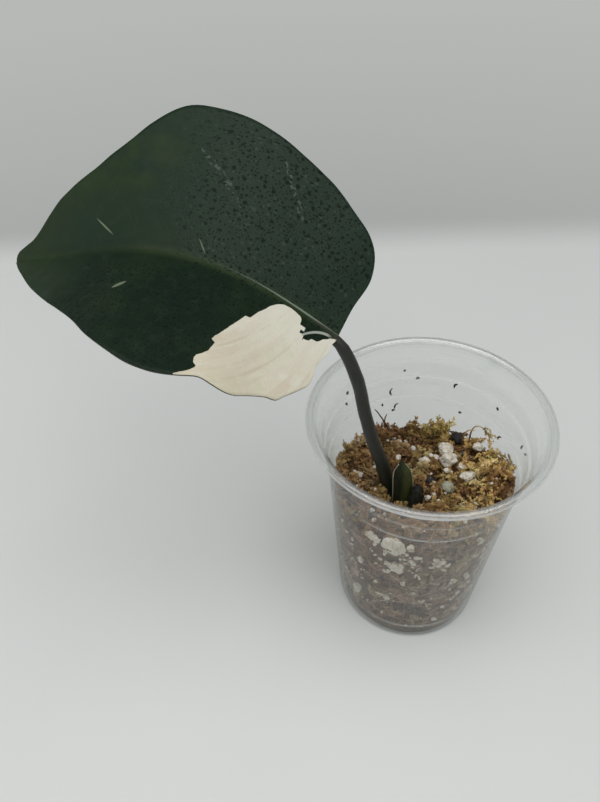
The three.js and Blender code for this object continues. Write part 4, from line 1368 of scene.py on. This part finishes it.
def sheath_skin():
    recipe("sheath_skin")
    place = objectwise()
    fibre = speckle(stretched(place, (1, 1, 0.1)), 1100)
    across = split(place)[0]
    colour = ramp(fibre, [(0.3, (0.006, 0.01, 0.006)), (0.55, (0.013, 0.02, 0.009)), (0.75, (0.026, 0.034, 0.014))])
    colour = blend(between(across, AXIS.x - 0.0112, AXIS.x - 0.0082) * 0.8, colour, (0.058, 0.064, 0.02))
    colour = blend(under(across, AXIS.x - 0.0128, AXIS.x - 0.0112) * 0.6, colour, (0.022, 0.012, 0.008))
    return surface(colour, 0.6, 0.12, relief(fibre, 0.0003, 0.6))


def margin_skin():
    recipe("sheath_margin")
    colour = ramp(speckle(objectwise(), 500), [(0.3, (0.2, 0.21, 0.14)), (0.7, (0.4, 0.4, 0.29))])
    return surface(colour, 0.5)


def make_stem():
    bm = bmesh.new()
    tube(bm, Line(STEM), STEM_RADII, sides=28, steps=26, wobble=0.10, seed=2)
    earlier = len(bm.verts)
    tube(bm, Line(STUMP), STUMP_RADII, sides=22, steps=24, wobble=0.28, seed=3)
    # its broken top
    bm.verts.ensure_lookup_table()
    for v in bm.verts[earlier:]:
        if v.co.z > BREAK:
            v.co.z += (v.co.z - BREAK) * 0.5 * noise.noise(Vector((v.co.x * 1.1, v.co.y * 1.1, 3.0)))
            v.co.xy = v.co.xy + Vector((noise.noise(v.co * 0.9), noise.noise(v.co * 0.9 + Vector((7, 0, 0))))) * 0.7
    for k, root in enumerate(ROOTS):
        tube(bm, Line(root), ROOT_RADII, sides=10, steps=26, wobble=0.22, seed=5 + k)
    face_out(bm)
    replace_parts(finished("stem_and_roots", bm, [woody()]), "stem")


def make_sheath():
    middle = SHEATH_FOOT.lerp(SHEATH_TIP, 0.55) + Vector((0.8, -0.9, 0))
    axis = Line([SHEATH_FOOT, middle, SHEATH_TIP])
    bm = bmesh.new()
    radii = [share * SHEATH_WIDTH for share in SWELL]
    tube(bm, axis, radii, sides=28, steps=30, squash=SHEATH_DEPTH / SHEATH_WIDTH, wide=(1, 0, 0))
    face_out(bm)
    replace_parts(finished("sheath_body", bm, [sheath_skin()]), "sheath")
    # two thick pale margins run up the sheath and meet at its tip
    first = Vector((1, 0, 0))
    bm = bmesh.new()
    for degrees, twist in MARGINS:
        points = []
        for k in range(9):
            t = 0.3 + 0.69 * k / 8
            way = axis.way(t)
            side = (first - way * first.dot(way)).normalized()
            a = math.radians(degrees + twist * k / 8)
            r = along(SWELL, t) * SHEATH_WIDTH
            points.append(axis.at(t) + side * (math.cos(a) * r)
                          + way.cross(side) * (math.sin(a) * r * SHEATH_DEPTH / SHEATH_WIDTH))
        tube(bm, Line(points, 8), [0.22, 0.27, 0.27, 0.24, 0.16], sides=8, steps=36)
    face_out(bm)
    finished("sheath_margins", bm, [margin_skin()])


make_stem()
make_sheath()

# ---- crumbs that stick to the inside of the wall

# Each with its angle round the cup in degrees, height, length and lean in degrees.
STUCK = [
    (103, 93, 4, 85), (99.5, 84.6, 3.2, 60), (101.5, 82, 1.6, 10), (62, 98.3, 2.6, 65), (55.4, 85.1, 1.5, 20),
    (109.5, 87, 1.3, 80), (86.4, 99.1, 1.5, 10), (94.9, 103.2, 1, 30), (31.7, 97.8, 1.4, -50),
    (136.3, 102.9, 1.6, 70), (139, 98.5, 1.2, 80), (0, 96.3, 2.4, 80), (-7.3, 97.6, 1.2, 20), (22, 86, 3, 60),
    (200, 94, 1.5, 40)]


def dried_crumb():
    """Dry bits of moss that cling to the sheet, some dark and some pale."""
    recipe("dried_crumb")
    tone = speckle(objectwise(), 55, 2)
    colour = ramp(tone, [(0.4, (0.045, 0.034, 0.024)), (0.52, (0.13, 0.105, 0.08)), (0.62, (0.26, 0.235, 0.2))])
    return surface(colour, 0.8, 0.2, relief(speckle(objectwise(), 3000, 3), 0.0002, 0.8))


def make_stuck():
    draw = random.Random(31)
    bm = bmesh.new()
    for degrees, z, long, lean in STUCK:
        a, l = math.radians(degrees), math.radians(lean)
        points = []
        for k, bow in ((-1, 0), (-0.4, 0.18), (0.3, 0.22), (1, 0)):
            s = k * long / 2
            level = z + math.sin(l) * s + bow * long * math.cos(l)
            r = inner_radius(level) - 0.05
            angle = a - (math.cos(l) * s - bow * long * math.sin(l)) / r
            points.append(in_cup(Vector((*polar(r, angle), level)), 0.42))
        wide = 0.46 if long > 1.7 else 0.5
        radii = [wide * 0.5, wide, wide * draw.uniform(0.7, 1.1), wide * 0.4]
        tube(bm, Line(points, 6), radii, sides=7, steps=9, wobble=0.5, seed=degrees)
    face_out(bm)
    finished("wall_crumbs", bm, [dried_crumb()])


make_stuck()
